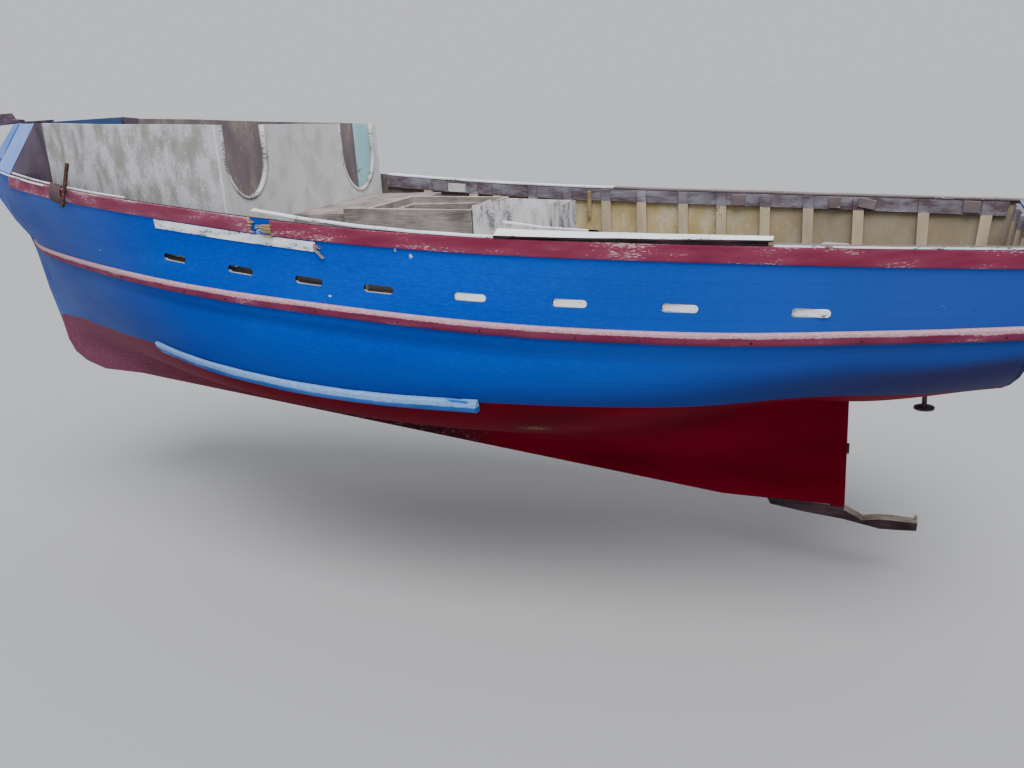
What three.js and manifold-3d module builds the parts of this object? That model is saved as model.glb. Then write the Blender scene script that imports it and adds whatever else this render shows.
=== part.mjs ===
// Stripped wooden fishing trawler: keel, planked hull, bulwarks and a roofless forecastle.
// Millimetres. +X is forward, +Y is port, +Z is up. The origin is amidships, on the load waterline.

import * as THREE from 'three';
import { mergeVertices } from 'three/addons/utils/BufferGeometryUtils.js';
import Module from 'manifold-3d';

const wasm = await Module();
wasm.setup();

// Driving dimensions

const GAP = 0.3;
const HALF_LENGTH = 7860;
const PLANK = 45;
const DECK_PLANK = 50;
const FRAME_SPACING = 600;
const BULWARK_HEIGHT = 760;
const KEEL_HALF = 90;
const KEEL_DEPTH = 220;
const KEEL_LINE = { atPost: -2183, slope: 0.1257 };
const HEEL_CUT = { atPost: -2011, slope: 0.0166 };
const POST_X = -5915;
const POST_THICK = 170;
const HULL_FIN_X = POST_X + POST_THICK;
const STEM_HALF = 75;
const STEM_RAKE_START = 2000;
const STERN_RAKE_START = -6400;
const STERN_RAKE = 0.14;
const TRANSOM_THICK = 50;
const BULKHEAD_X = 1600;
const BREAK_X = 5450;
const AFT_END = 50 - HALF_LENGTH;
const GUNWALE_HEIGHT = 190;
const RUB_HALF = 75;

// Colours of the finishes

const PAINT = {
  blue: 0x0062c4, bottom: 0x7a0a1c, crimson: 0x8e2a45, strake: 0xb98a80, rail: 0xa3c4e4, white: 0xdce0ea,
  deck: 0x8a8176, grey: 0xa9a79f, timber: 0x3b2c2c, rust: 0x5a2a3a, frame: 0xb8a98a,
  coaming: 0x8e8676, teal: 0x8fb3b5, brown: 0x6b5a50,
};

// Hull form. x is the station's place at the sheer, the rest are its half section:
// sheerY, sheerZ the top edge; turnY, turnZ the point where the bottom turns into the side;
// lowY, lowZ and bilgeY, bilgeZ the two control points of the bottom's curve; rubZ the rubbing strake.
const STATION_COLUMNS = [
  'x', 'sheerY', 'sheerZ', 'turnY', 'turnZ', 'lowY', 'lowZ', 'bilgeY', 'bilgeZ', 'rubZ',
];
const STATIONS = [
  [-7860, 1800, 1650, 1620, 520, 420, -200, 1560, 230, 800],
  [-7000, 1930, 1675, 1730, 380, 450, -340, 1650, 60, 775],
  [-6000, 2060, 1710, 1820, 300, 480, -460, 1700, -80, 750],
  [-5000, 2155, 1750, 1990, 200, 110, -260, 1800, -420, 738],
  [-4000, 2240, 1790, 2130, 120, 150, -560, 2040, -560, 745],
  [-2000, 2335, 1880, 2290, 40, 330, -960, 2200, -840, 830],
  [0, 2340, 2020, 2260, 0, 560, -960, 2160, -760, 985],
  [2000, 2220, 2230, 1990, 0, 600, -780, 1830, -560, 1140],
  [4000, 1930, 2450, 1330, 0, 360, -600, 1130, -420, 1290],
  [5500, 1470, 2620, 720, 0, 190, -420, 560, -300, 1370],
  [6700, 850, 2745, 290, 0, 105, -300, 210, -220, 1440],
  [7430, 90, 2800, 75, 0, 75, -300, 75, -200, 1465],
].map((row) => Object.fromEntries(row.map((value, i) => [STATION_COLUMNS[i], value])));
const BOW_X = STATIONS.at(-1).x;

// Front edge of the stem from the forefoot to its head: x, z
const STEM_FRONT = [
  [5350, -767], [6135, -727], [6508, -597], [6723, -441], [6827, -227], [6880, 98], [6925, 277],
  [7028, 666], [7079, 984], [7145, 1332], [7219, 1558], [7468, 1817], [7728, 2196], [7780, 2420],
  [7590, 2656], [7484, 3009], [7067, 3374],
];

// Rabbet, the line where the planks meet the stem, from the keel's top to the sheer: x, z
const RABBET = [
  [5060, -584], [5600, -565], [6000, -525], [6300, -440], [6500, -330], [6640, -180], [6725, 0], [6800, 277],
  [6905, 666], [6960, 984], [7025, 1332], [7110, 1558], [7330, 1817], [7570, 2196], [7620, 2420],
  [7480, 2656], [7420, 2850],
];

// Curves through tables

function hermite(p0, p1, m0, m1, t) {
  const t2 = t * t;
  const t3 = t2 * t;
  return (2 * t3 - 3 * t2 + 1) * p0 + (t3 - 2 * t2 + t) * m0 + (3 * t2 - 2 * t3) * p1 + (t3 - t2) * m1;
}

function slopeAt(xs, ys, i) {
  const last = xs.length - 1;
  if (i === 0) return (ys[1] - ys[0]) / (xs[1] - xs[0]);
  if (i === last) return (ys[last] - ys[last - 1]) / (xs[last] - xs[last - 1]);
  const before = (ys[i] - ys[i - 1]) / (xs[i] - xs[i - 1]);
  const after = (ys[i + 1] - ys[i]) / (xs[i + 1] - xs[i]);
  const share = (xs[i + 1] - xs[i]) / (xs[i + 1] - xs[i - 1]);
  return before * share + after * (1 - share);
}

function curveThrough(xs, ys, x) {
  const last = xs.length - 2;
  let i = 0;
  while (i < last && x > xs[i + 1]) i += 1;
  const width = xs[i + 1] - xs[i];
  const t = Math.min(Math.max((x - xs[i]) / width, 0), 1);
  return hermite(ys[i], ys[i + 1], slopeAt(xs, ys, i) * width, slopeAt(xs, ys, i + 1) * width, t);
}

const STATION_X = STATIONS.map((row) => row.x);

function column(name, x) {
  return curveThrough(STATION_X, STATIONS.map((row) => row[name]), x);
}

function smoothStep(t) {
  const s = Math.min(Math.max(t, 0), 1);
  return s * s * (3 - 2 * s);
}

// Keel and rabbet

const RABBET_X = RABBET.map(([x]) => x);
const RABBET_Z = RABBET.map(([, z]) => z);

// The keel's after end has been cut away, and the heel timber fills what is gone.
function keelBottom(x) {
  const fromPost = x - POST_X;
  return Math.max(KEEL_LINE.atPost + KEEL_LINE.slope * fromPost, HEEL_CUT.atPost + HEEL_CUT.slope * fromPost);
}

function rabbetX(z) {
  return curveThrough(RABBET_Z, RABBET_X, z);
}

const COUNTER_LINE = { x: [-HALF_LENGTH, -6790, HULL_FIN_X], z: [-330, -460, -610] };

function counterBottom(x) {
  return curveThrough(COUNTER_LINE.x, COUNTER_LINE.z, x);
}

function bowShare(x) {
  return smoothStep((x - STEM_RAKE_START) / (BOW_X - STEM_RAKE_START));
}

// A station leans with the stem near the bow, and with the transom near the stern.
function leanedX(x, z) {
  const stern = smoothStep((STERN_RAKE_START - x) / (STERN_RAKE_START + HALF_LENGTH));
  return x + bowShare(x) * (rabbetX(z) - BOW_X) + stern * STERN_RAKE * (column('sheerZ', x) - z);
}

function keelTop(x) {
  return keelBottom(x + bowShare(x) * (RABBET_X[0] - BOW_X)) + KEEL_DEPTH;
}

function bezier(a, b, c, d, t) {
  const s = 1 - t;
  return s * s * s * a + 3 * s * s * t * b + 3 * s * t * t * c + t * t * t * d;
}

// Bottom of a station from the line y, z on the centre timber to the turn of the side
function bottomFrom(x, y, z, t) {
  return [
    bezier(y, column('lowY', x), column('bilgeY', x), column('turnY', x), t),
    bezier(z, column('lowZ', x), column('bilgeZ', x), column('turnZ', x), t),
  ];
}

function counterPoint(x, t) {
  return bottomFrom(x, 0, counterBottom(x), t);
}

// Forward of the sternpost the bottom is a fin under the counter. It narrows aft to the post's thickness.
const FIN_SHARE = 0.3;
const FIN_TAPER_X = -4300;

function finPoint(x, t) {
  const half = KEEL_HALF + bowShare(x) * (STEM_HALF - KEEL_HALF);
  const full = bottomFrom(x, half, keelTop(x), t);
  const rise = keelTop(x) + (counterBottom(HULL_FIN_X) - keelTop(x)) * (t / FIN_SHARE);
  const onCounter = counterPoint(x, Math.max(t - FIN_SHARE, 0) / (1 - FIN_SHARE));
  const narrow = t < FIN_SHARE ? [KEEL_HALF, rise] : [Math.max(onCounter[0], KEEL_HALF), onCounter[1]];
  const share = smoothStep((FIN_TAPER_X - x) / (FIN_TAPER_X - HULL_FIN_X));
  return full.map((value, i) => value + (narrow[i] - value) * share);
}

// Side of a station from turn to sheer: y, z, with t from 0 to 1
function sidePointAt(x, t) {
  const turnY = column('turnY', x);
  const turnZ = column('turnZ', x);
  const rise = column('sheerZ', x) - turnZ;
  const flare = column('sheerY', x) - turnY;
  const slope = (turnY - column('bilgeY', x)) / (turnZ - column('bilgeZ', x));
  const y = bezier(turnY, turnY + slope * rise / 3, turnY + flare * 0.72, turnY + flare, t);
  return [y, turnZ + rise * t];
}

// Half breadth of the side at height z, straight on above the sheer
function sideY(x, z) {
  const turnZ = column('turnZ', x);
  return sidePointAt(x, Math.min(Math.max((z - turnZ) / (column('sheerZ', x) - turnZ), 0), 1))[0];
}

// At the stem the planks keep this half breadth outside, and less by up to the second value inside.
const PLANK_END = { half: STEM_HALF - 5, inside: 60 };

function sidePoint(x, z, inset = 0) {
  const floor = PLANK_END.half - Math.min(inset, PLANK_END.inside);
  return [leanedX(x, z), Math.max(sideY(x, z) - inset, floor), z];
}

// Closed bodies

function weld(geometry) {
  const bare = geometry.index ? geometry.toNonIndexed() : geometry.clone();
  for (const name of Object.keys(bare.attributes)) {
    if (name !== 'position') bare.deleteAttribute(name);
  }
  return mergeVertices(bare, 1e-3);
}

function toSolid(geometry) {
  const welded = weld(geometry);
  const vertProperties = Float32Array.from(welded.attributes.position.array);
  const triVerts = Uint32Array.from(welded.index.array);
  return new wasm.Manifold(new wasm.Mesh({ numProp: 3, vertProperties, triVerts }));
}

// A cut can leave loose slivers, so only the largest body is kept.
function toGeometry(solid) {
  const bodies = solid.decompose().sort((p, q) => q.volume() - p.volume());
  const mesh = bodies[0].getMesh();
  const geometry = new THREE.BufferGeometry();
  geometry.setAttribute('position', new THREE.BufferAttribute(Float32Array.from(mesh.vertProperties), 3));
  geometry.setIndex(new THREE.BufferAttribute(Uint32Array.from(mesh.triVerts), 1));
  return geometry;
}

function moved(solid, [x, y, z]) {
  return toSolid(toGeometry(solid).translate(x, y, z));
}

function otherHand(solid) {
  return toSolid(flip(toGeometry(solid)));
}

function signedVolume(points, triangles) {
  let sum = 0;
  for (const [a, b, c] of triangles) {
    sum += points[a].dot(new THREE.Vector3().crossVectors(points[b], points[c]));
  }
  return sum / 6;
}

// The body between two sheets of points that have the same rows and columns
function bodyBetween(sheetA, sheetB) {
  const points = [];
  const places = new Map();
  const number = (p) => {
    const key = p.map((v) => Math.round(v * 500)).join(',');
    if (!places.has(key)) {
      places.set(key, points.length);
      points.push(new THREE.Vector3(...p));
    }
    return places.get(key);
  };
  const a = sheetA.map((row) => row.map(number));
  const b = sheetB.map((row) => row.map(number));
  const rows = a.length - 1;
  const columns = a[0].length - 1;
  const quads = [];
  for (let i = 0; i < rows; i += 1) {
    for (let j = 0; j < columns; j += 1) {
      quads.push([a[i][j], a[i + 1][j], a[i + 1][j + 1], a[i][j + 1]]);
      quads.push([b[i][j], b[i][j + 1], b[i + 1][j + 1], b[i + 1][j]]);
    }
  }
  for (let i = 0; i < rows; i += 1) {
    quads.push([a[i][0], b[i][0], b[i + 1][0], a[i + 1][0]]);
    quads.push([a[i][columns], a[i + 1][columns], b[i + 1][columns], b[i][columns]]);
  }
  for (let j = 0; j < columns; j += 1) {
    quads.push([a[0][j], a[0][j + 1], b[0][j + 1], b[0][j]]);
    quads.push([a[rows][j], b[rows][j], b[rows][j + 1], a[rows][j + 1]]);
  }
  const triangles = [];
  for (const [p, q, r, s] of quads) {
    for (const triangle of [[p, q, r], [p, r, s]]) {
      if (new Set(triangle).size === 3) triangles.push(triangle);
    }
  }
  const turned = signedVolume(points, triangles) < 0;
  const order = triangles.flatMap(([p, q, r]) => (turned ? [p, r, q] : [p, q, r]));
  const geometry = new THREE.BufferGeometry();
  geometry.setAttribute('position', new THREE.Float32BufferAttribute(points.flatMap((p) => p.toArray()), 3));
  geometry.setIndex(order);
  return geometry;
}

function steps(from, to, count) {
  return Array.from({ length: count + 1 }, (_, i) => from + (to - from) * i / count);
}

function mirrored(sheet) {
  return sheet.map((row) => row.map(([x, y, z]) => [x, -y, z]));
}

function flip(geometry) {
  const other = weld(geometry);
  other.scale(1, -1, 1);
  const index = other.index.array;
  for (let i = 0; i < index.length; i += 3) {
    [index[i + 1], index[i + 2]] = [index[i + 2], index[i + 1]];
  }
  return other;
}

// A box between two corners
function block([x0, x1], [y0, y1], [z0, z1]) {
  const box = new THREE.BoxGeometry(x1 - x0, y1 - y0, z1 - z0);
  box.translate((x0 + x1) / 2, (y0 + y1) / 2, (z0 + z1) / 2);
  return box;
}

// An outline in x, z, made half its width to each side of y
function plate(outline, y, half, chamfer) {
  const shape = new THREE.Shape(outline.map(([x, z]) => new THREE.Vector2(x, z)));
  const settings = {
    depth: 2 * (half - chamfer),
    bevelEnabled: chamfer > 0,
    bevelThickness: chamfer,
    bevelSize: chamfer,
    bevelOffset: -chamfer,
    bevelSegments: 1,
  };
  const body = new THREE.ExtrudeGeometry(shape, settings);
  body.rotateX(Math.PI / 2);
  body.translate(0, y + half - chamfer, 0);
  return body;
}

// The model

const boat = new THREE.Group();

function addPart(name, geometry, colour, roughness = 0.7, metalness = 0) {
  const material = new THREE.MeshStandardMaterial({ color: colour, roughness, metalness });
  const mesh = new THREE.Mesh(weld(geometry), material);
  mesh.name = name;
  boat.add(mesh);
}

// Stations at which the long bodies are cut

const AFT_CUTS = [-7350, -6900, -6400, -6050];
const FIN_CUTS = [-5700, -5400, -5000, -4500, -4000, -3300, -2600, -1900, -1200, -500, 200, 745, 1045, 1600];
const BOW_CUTS = [2300, 3000, 3700, 4400, 5200, 5950, 6450, 6850, 7150];
const LONG_CUTS = [AFT_END, ...AFT_CUTS, ...FIN_CUTS, ...BOW_CUTS, BOW_X];
const HULL_CUTS = [AFT_END, ...AFT_CUTS, HULL_FIN_X - 2, HULL_FIN_X, ...FIN_CUTS, ...BOW_CUTS, BOW_X];
const LEAST_STEP = 60;

function cutsBetween(from, to) {
  return [from, ...LONG_CUTS.filter((x) => x > from + LEAST_STEP && x < to - LEAST_STEP), to];
}

const sheer = (x) => column('sheerZ', x);
const rub = (x) => column('rubZ', x);

// Deck heights

const BEAM_CAMBER = 60;

function deckZ(x) {
  return sheer(x) - BULWARK_HEIGHT;
}

function deckCamber(x, y) {
  const reach = y / column('sheerY', x);
  return BEAM_CAMBER * (1 - reach * reach);
}

// Hull body: bottom and sides up to the rubbing strake, then a ledge and the deck's underside

const BOTTOM_STEPS = [0, 0.08, 0.18, FIN_SHARE, 0.42, 0.54, 0.66, 0.78, 0.89, 1];
const LEDGE = PLANK + 30;
const UNDER_DECK = DECK_PLANK + 15;

function hullHalf(x) {
  const counter = x < HULL_FIN_X;
  const bottom = BOTTOM_STEPS.map((t) => {
    const [y, z] = counter ? counterPoint(x, Math.max(t - FIN_SHARE, 0) / (1 - FIN_SHARE)) : finPoint(x, t);
    return [leanedX(x, z), y, z];
  });
  const centre = [bottom[0][0], 0, bottom[0][2]];
  const seam = rub(x);
  const turnZ = column('turnZ', x);
  const side = [turnZ + (seam - RUB_HALF - turnZ) * 0.5, seam - RUB_HALF, seam].map((z) => sidePoint(x, z));
  const top = deckZ(x) - UNDER_DECK;
  const shoulder = [sidePoint(x, seam, LEDGE), sidePoint(x, top, LEDGE)];
  const beam = [0.5, 0].map((share) => {
    const y = shoulder[1][1] * share;
    return [leanedX(x, top), y, top + deckCamber(x, y)];
  });
  return [centre, ...bottom, ...side, ...shoulder, ...beam];
}

const hullSheet = HULL_CUTS.map(hullHalf);
const hullBody = toSolid(bodyBetween(hullSheet, mirrored(hullSheet)));

// Openings through the hull body: the fish hold and the rudder stock's way

const HATCH = { x: [-1110, 260], y: [-590, 590] };
const COAMING_THICK = 100;
const HOLD_FLOOR = 100;
const ABOVE_ALL = 4000;
const BELOW_COUNTER = -1000;
const STOCK_X = -6790;
const STOCK_RADIUS = 30;
const STOCK_CLEARANCE = 6;

function upright(radius, [z0, z1], x, sides = 20) {
  const rod = new THREE.CylinderGeometry(radius, radius, z1 - z0, sides);
  rod.rotateX(Math.PI / 2);
  rod.translate(x, 0, (z0 + z1) / 2);
  return rod;
}

const holdCut = toSolid(block(HATCH.x, HATCH.y, [HOLD_FLOOR, ABOVE_ALL]));
const stockCut = toSolid(upright(STOCK_RADIUS + STOCK_CLEARANCE, [BELOW_COUNTER, ABOVE_ALL], STOCK_X));
const hull = hullBody.subtract(holdCut).subtract(stockCut);
addPart('hull', toGeometry(hull), PAINT.blue);

// Keel, post, stern tube and the broken heel timber

const BELOW = [0, 0, -GAP];
const UP = [0, 0, GAP];
const ASTERN = [-GAP, 0, 0];
const AHEAD = [GAP, 0, 0];

const KEEL_CUTS = [HULL_FIN_X - 0.1, -5000, -4344, -2000, 0, 2000, 4000, RABBET_X[0]];
const KEEL_CHAMFER = 30;

function keelBar() {
  const bar = KEEL_CUTS.map((x) => {
    const z = keelBottom(x);
    return [
      [x, KEEL_HALF, z + KEEL_DEPTH - GAP], [x, KEEL_HALF, z + KEEL_CHAMFER], [x, KEEL_HALF - KEEL_CHAMFER, z],
      [x, 0, z],
    ];
  });
  return toSolid(bodyBetween(bar, mirrored(bar)));
}
const keel = keelBar().subtract(moved(hull, BELOW));
addPart('keel', toGeometry(keel), PAINT.bottom);

const TUBE = { z: -1230, outer: 70, bore: 42, proud: 30 };

function along(radius, [x0, x1], z, sides = 24) {
  const rod = new THREE.CylinderGeometry(radius, radius, x1 - x0, sides);
  rod.rotateZ(Math.PI / 2);
  rod.translate((x0 + x1) / 2, 0, z);
  return toSolid(rod);
}

const boreEnds = [POST_X - 200, HULL_FIN_X + 150];
const POST_HEAD = -400;
const postBlock = block([POST_X, HULL_FIN_X - 0.5], [-KEEL_HALF, KEEL_HALF], [keelBottom(POST_X), POST_HEAD]);
const post = toSolid(postBlock)
  .subtract(moved(hull, BELOW))
  .subtract(moved(hull, ASTERN))
  .subtract(along(TUBE.outer, boreEnds, TUBE.z));
addPart('stern_post', toGeometry(post), PAINT.bottom);

const tube = along(TUBE.outer - 0.5, [POST_X - TUBE.proud, HULL_FIN_X - 4], TUBE.z)
  .subtract(along(TUBE.bore, boreEnds, TUBE.z));
addPart('stern_tube', toGeometry(tube), PAINT.rust, 0.8, 0.4);

const HEEL = { half: 80, chamfer: 10 };
const HEEL_OUTLINE = [
  [-4940, -1995], [-4980, -2072], [-5431, -2138], [-5896, -2192], [-6144, -2238], [-6352, -2280], [-6600, -2276],
  [-6796, -2262], [-6806, -2142], [-6477, -2130], [-6341, -2132], [-6141, -2168], [-6010, -2100], [-5930, -2052],
  [-5912, -2052], [-5905, -2000], [-4950, -1940],
];
const heel = toSolid(plate(HEEL_OUTLINE, 0, HEEL.half, HEEL.chamfer)).subtract(moved(keel, BELOW)).subtract(moved(post, BELOW))
  .subtract(moved(post, ASTERN));
addPart('heel_timber', toGeometry(heel), PAINT.timber);

// Pieces that lie along the side: a sheet of the side's surface, given its thickness

function strip(from, to, heights, outerInset, innerInset) {
  const sheet = (inset) => cutsBetween(from, to).map((x) => heights(x).map((z) => sidePoint(x, z, inset)));
  return toSolid(bodyBetween(sheet(outerInset), sheet(innerInset)));
}

// Both hands of a piece: the port one as made, the starboard one mirrored
function addPair(name, solid, colour, roughness, metalness) {
  const geometry = toGeometry(solid);
  addPart(`${name}_port`, geometry, colour, roughness, metalness);
  addPart(`${name}_starboard`, flip(geometry), colour, roughness, metalness);
}

// Topside planking with its freeing ports

const PORTS_X = [-5580, -4240, -3030, -1850, -675, 300, 1340, 2460];
const PORT_SLOT = { length: 400, height: 95, drop: 698, reach: 200 };

function slot(x, length, height, [y0, y1]) {
  const radius = height / 2;
  const half = length / 2 - radius;
  const shape = new THREE.Shape();
  shape.absarc(half, 0, radius, -Math.PI / 2, Math.PI / 2, false);
  shape.absarc(-half, 0, radius, Math.PI / 2, 3 * Math.PI / 2, false);
  const body = new THREE.ExtrudeGeometry(shape, { depth: y1 - y0, bevelEnabled: false, curveSegments: 3 });
  body.rotateX(Math.PI / 2);
  body.rotateY(-Math.atan2(sheer(x + half) - sheer(x - half), 2 * half));
  body.translate(x, y1, sheer(x) - PORT_SLOT.drop);
  return toSolid(body);
}

function skinHeights(x) {
  const low = rub(x) + RUB_HALF;
  const high = sheer(x) - GUNWALE_HEIGHT;
  return [rub(x) + GAP, low, (low + high) / 2, high, sheer(x)];
}
const wholeSkin = strip(AFT_END, BOW_X, skinHeights, 0, PLANK);
const skin = PORTS_X.reduce((body, x) => {
  const y = sideY(x, sheer(x) - PORT_SLOT.drop);
  return body.subtract(slot(x, PORT_SLOT.length, PORT_SLOT.height, [y - PORT_SLOT.reach, y + PORT_SLOT.reach]));
}, wholeSkin);
addPair('topside', skin, PAINT.blue);

// Shutters close the four after ports of the port side, and three of them to starboard.
const SHUTTER = { clear: 6, sunk: 10, thick: 22 };

function shutter(x) {
  const y = sideY(x, sheer(x) - PORT_SLOT.drop) - SHUTTER.sunk;
  const [length, height] = [PORT_SLOT.length - SHUTTER.clear, PORT_SLOT.height - SHUTTER.clear];
  return toGeometry(slot(x, length, height, [y - SHUTTER.thick, y]));
}
PORTS_X.slice(0, 4).forEach((x, i) => {
  addPart(`freeing_port_shutter_${i + 1}`, shutter(x), PAINT.white);
});
PORTS_X.slice(1, 4).forEach((x, i) => {
  addPart(`freeing_port_shutter_${i + 5}`, flip(shutter(x)), PAINT.frame);
});

// Stem, cut to lie against the ends of the planks

const STEM_HEAD = [[6930, 3374], [7340, 2960]];
const STEM_BACK_TOP = 2840;
// Under the knee of the bow the stem reaches back to the ends of the planks.
const STEM_BACK_X = 7500;
const STEM_STEPS = 16;
const STEM_CHAMFER = 18;

function stemOutline() {
  const foot = RABBET_X[0] + 0.5;
  const back = steps(STEM_BACK_TOP, RABBET_Z[0] + 5, STEM_STEPS).map((z) => (
    [Math.min(rabbetX(z), STEM_BACK_X) + 0.5, z]
  ));
  const low = keelBottom(foot);
  return [[foot, low], ...STEM_FRONT, ...STEM_HEAD, ...back, [foot, low + KEEL_DEPTH - 1]];
}
const bothSkins = [wholeSkin, otherHand(wholeSkin)];
const stem = [hull, ...bothSkins].reduce((body, other) => (
  body.subtract(other).subtract(moved(other, AHEAD)).subtract(moved(other, BELOW)).subtract(moved(other, UP))
), toSolid(plate(stemOutline(), 0, STEM_HALF - 2, STEM_CHAMFER)));
addPart('stem', toGeometry(stem), PAINT.blue);

// Strakes outside the planking

const GUNWALE = { proud: 30, fore: 5950, gap: [745, 1045] };
const gunwaleHeights = (x) => [sheer(x) - GUNWALE_HEIGHT, sheer(x)];
const gunwale = (from, to) => toGeometry(strip(from, to, gunwaleHeights, -GUNWALE.proud, -GAP));
addPart('gunwale_strake_port_fore', gunwale(GUNWALE.gap[1], GUNWALE.fore), PAINT.crimson);
addPart('gunwale_strake_port_aft', gunwale(AFT_END, GUNWALE.gap[0]), PAINT.crimson);
addPart('gunwale_strake_starboard', flip(gunwale(AFT_END, GUNWALE.fore)), PAINT.crimson);

const RUB_PROUD = 55;
const rubHeights = (x) => [rub(x) - RUB_HALF, rub(x), rub(x) + RUB_HALF];
addPair('rub_strake', strip(AFT_END, BOW_X, rubHeights, -RUB_PROUD, -2 * GAP), PAINT.strake);

// The bilge rail rises at its fore end: x, height of its middle
const BILGE_RAIL = {
  x: [-1820, 0, 1000, 1600, 2500, 3100, 3650],
  z: [-150, -125, -65, -15, 65, 120, 190],
  half: 74,
  proud: 60,
  root: 60,
};
const railZ = (x) => curveThrough(BILGE_RAIL.x, BILGE_RAIL.z, x);
const bilgeRail = strip(BILGE_RAIL.x[0], BILGE_RAIL.x.at(-1),
  (x) => [railZ(x) - BILGE_RAIL.half, railZ(x) + BILGE_RAIL.half], -BILGE_RAIL.proud, BILGE_RAIL.root);
const OUTWARD = [[0, 1, 0], [0, 1, -1], [1, 1, 0]];
const clearRail = OUTWARD.reduce((body, way) => body.subtract(moved(hull, way)), bilgeRail);
addPair('bilge_rail', clearRail, PAINT.rail);

const NAME_BOARD = { x: [130, 2680], drops: [322, 202], proud: 18, off: 4 };
const nameHeights = (x) => NAME_BOARD.drops.map((drop) => sheer(x) - drop);
addPair('name_board', strip(...NAME_BOARD.x, nameHeights, -NAME_BOARD.proud, -NAME_BOARD.off), PAINT.white);

// Boards on the top of the bulwark. The foremost port one has sprung up at its fore end.

const CAP = { thick: 22, off: 2, over: 42, inboard: 95 };
const NARROW_CAP = { over: 30, inboard: 80 };
const SPRUNG_CAP = { over: 25, inboard: 60, sprung: 85 };
const CAP_ENDS = { portFore: 1000, portMiddle: -2200, portAft: -5200, starboardFore: 1540, starboardAft: -2300 };
const BUTT = 4;

function cap(from, to, { over, inboard, sprung = 0 }) {
  const lift = (x) => CAP.off + sprung * ((x - from) / (to - from)) ** 2;
  const heights = (x) => [0, CAP.thick].map((z) => sheer(x) + lift(x) + z);
  return toGeometry(strip(from, to, heights, -over, inboard));
}

// The middle board has worked loose: its inner edge is raised, and its outer edge rises aft.
const LOOSE = { inner: 70, outerFore: 12, outerAft: 50 };

function looseCap(from, to) {
  const outer = (x) => LOOSE.outerAft + (LOOSE.outerFore - LOOSE.outerAft) * (x - from) / (to - from);
  const sheet = (inset, raised) => cutsBetween(from, to).map((x) => (
    [0, CAP.thick].map((z) => sidePoint(x, sheer(x) + CAP.off + raised(x) + z, inset))
  ));
  return toGeometry(toSolid(bodyBetween(sheet(-CAP.over, outer), sheet(CAP.inboard, () => LOOSE.inner))));
}
const { portFore, portMiddle, portAft, starboardFore, starboardAft } = CAP_ENDS;
addPart('cap_board_port_fore', cap(portMiddle, portFore, SPRUNG_CAP), PAINT.white);
addPart('cap_board_port_middle', looseCap(portAft, portMiddle - BUTT), PAINT.white);
addPart('cap_board_port_aft', cap(AFT_END, portAft - BUTT, NARROW_CAP), PAINT.white);
addPart('cap_board_starboard_fore', flip(cap(starboardAft, starboardFore, CAP)), PAINT.white);
addPart('cap_board_starboard_aft', flip(cap(AFT_END, starboardAft - BUTT, CAP)), PAINT.white);

// Bulwark frames: stanchions and the stringer that joins them

const STANCHION = { half: 70, deep: 90, foot: 4, fromPort: 10 };
const STRINGER = { x: [-7700, 1540], drop: 8, height: 175, deep: 60, short: 150 };
const FRAME_OFF = 9;

function stanchion(x) {
  const sheet = (inset) => [x - STANCHION.half, x + STANCHION.half].map((at) => (
    [deckZ(at) + deckCamber(at, sideY(at, deckZ(at)) - PLANK - STANCHION.deep) + STANCHION.foot, sheer(at) - STRINGER.drop]
      .map((z) => sidePoint(at, z, inset))
  ));
  return toSolid(bodyBetween(sheet(PLANK + FRAME_OFF), sheet(PLANK + STANCHION.deep)));
}

const stringerHeights = (x) => [STRINGER.height, 0].map((z) => sheer(x) - STRINGER.drop - z);
const stringer = strip(...STRINGER.x, stringerHeights, PLANK + FRAME_OFF, PLANK + STRINGER.deep);

// A stanchion that would cross a freeing port stands beside it.
const PORT_REACH = PORT_SLOT.length / 2 + STANCHION.half + STANCHION.fromPort;
function besidePorts(x) {
  const port = PORTS_X.find((at) => Math.abs(at - x) < PORT_REACH);
  return port === undefined ? x : port + Math.sign(x - port) * PORT_REACH;
}
// The two aftermost stand wider apart than the rest.
const AFTMOST_STANCHIONS = [-7460, -6690];
const EVEN_BAYS = 11;
const EVEN_FROM = -5790;
const evenStanchions = steps(EVEN_FROM, EVEN_FROM + EVEN_BAYS * FRAME_SPACING, EVEN_BAYS);
const stanchionsX = [...AFTMOST_STANCHIONS, ...evenStanchions].map(besidePorts);
const bulwarkFrames = stanchionsX.reduce((body, x) => body.add(stanchion(x)), stringer);
addPair('bulwark_frames', bulwarkFrames, PAINT.frame);

// Deck and forecastle sole

const DECK_EDGE = PLANK + 22;

function deckSlab(from, to) {
  const sheet = (drop) => cutsBetween(from, to).map((x) => {
    const z = deckZ(x);
    const edge = Math.min(sidePoint(x, z, DECK_EDGE)[1], sidePoint(x, z - DECK_PLANK, DECK_EDGE)[1]);
    return steps(-edge, edge, 4).map((y) => [leanedX(x, z), y, z - drop + deckCamber(x, y)]);
  });
  return toSolid(bodyBetween(sheet(0), sheet(DECK_PLANK)));
}
const hatchCut = toSolid(block(HATCH.x, HATCH.y, [0, ABOVE_ALL]));
const deckWhole = deckSlab(AFT_END + 4, BULKHEAD_X - 2);
addPart('main_deck', toGeometry(deckWhole.subtract(hatchCut).subtract(stockCut)), PAINT.deck);
const SOLE_END = 6850;
addPart('forecastle_sole', toGeometry(deckSlab(BULKHEAD_X + 2, SOLE_END)), PAINT.deck);

// Hatch coaming, engine casing and the low step before the bulkhead, each scribed to the deck

const COAMING_TOP = { aft: 1965, fore: 2005 };
const SCRIBE_DEPTH = 50;
const COAMING_LEDGE = { wide: 40, deep: 70 };
const CARLING_END = 700;
const deckBelow = moved(deckWhole, UP).add(moved(deckWhole, [0, 0, GAP - DECK_PLANK + 5]));

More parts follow.
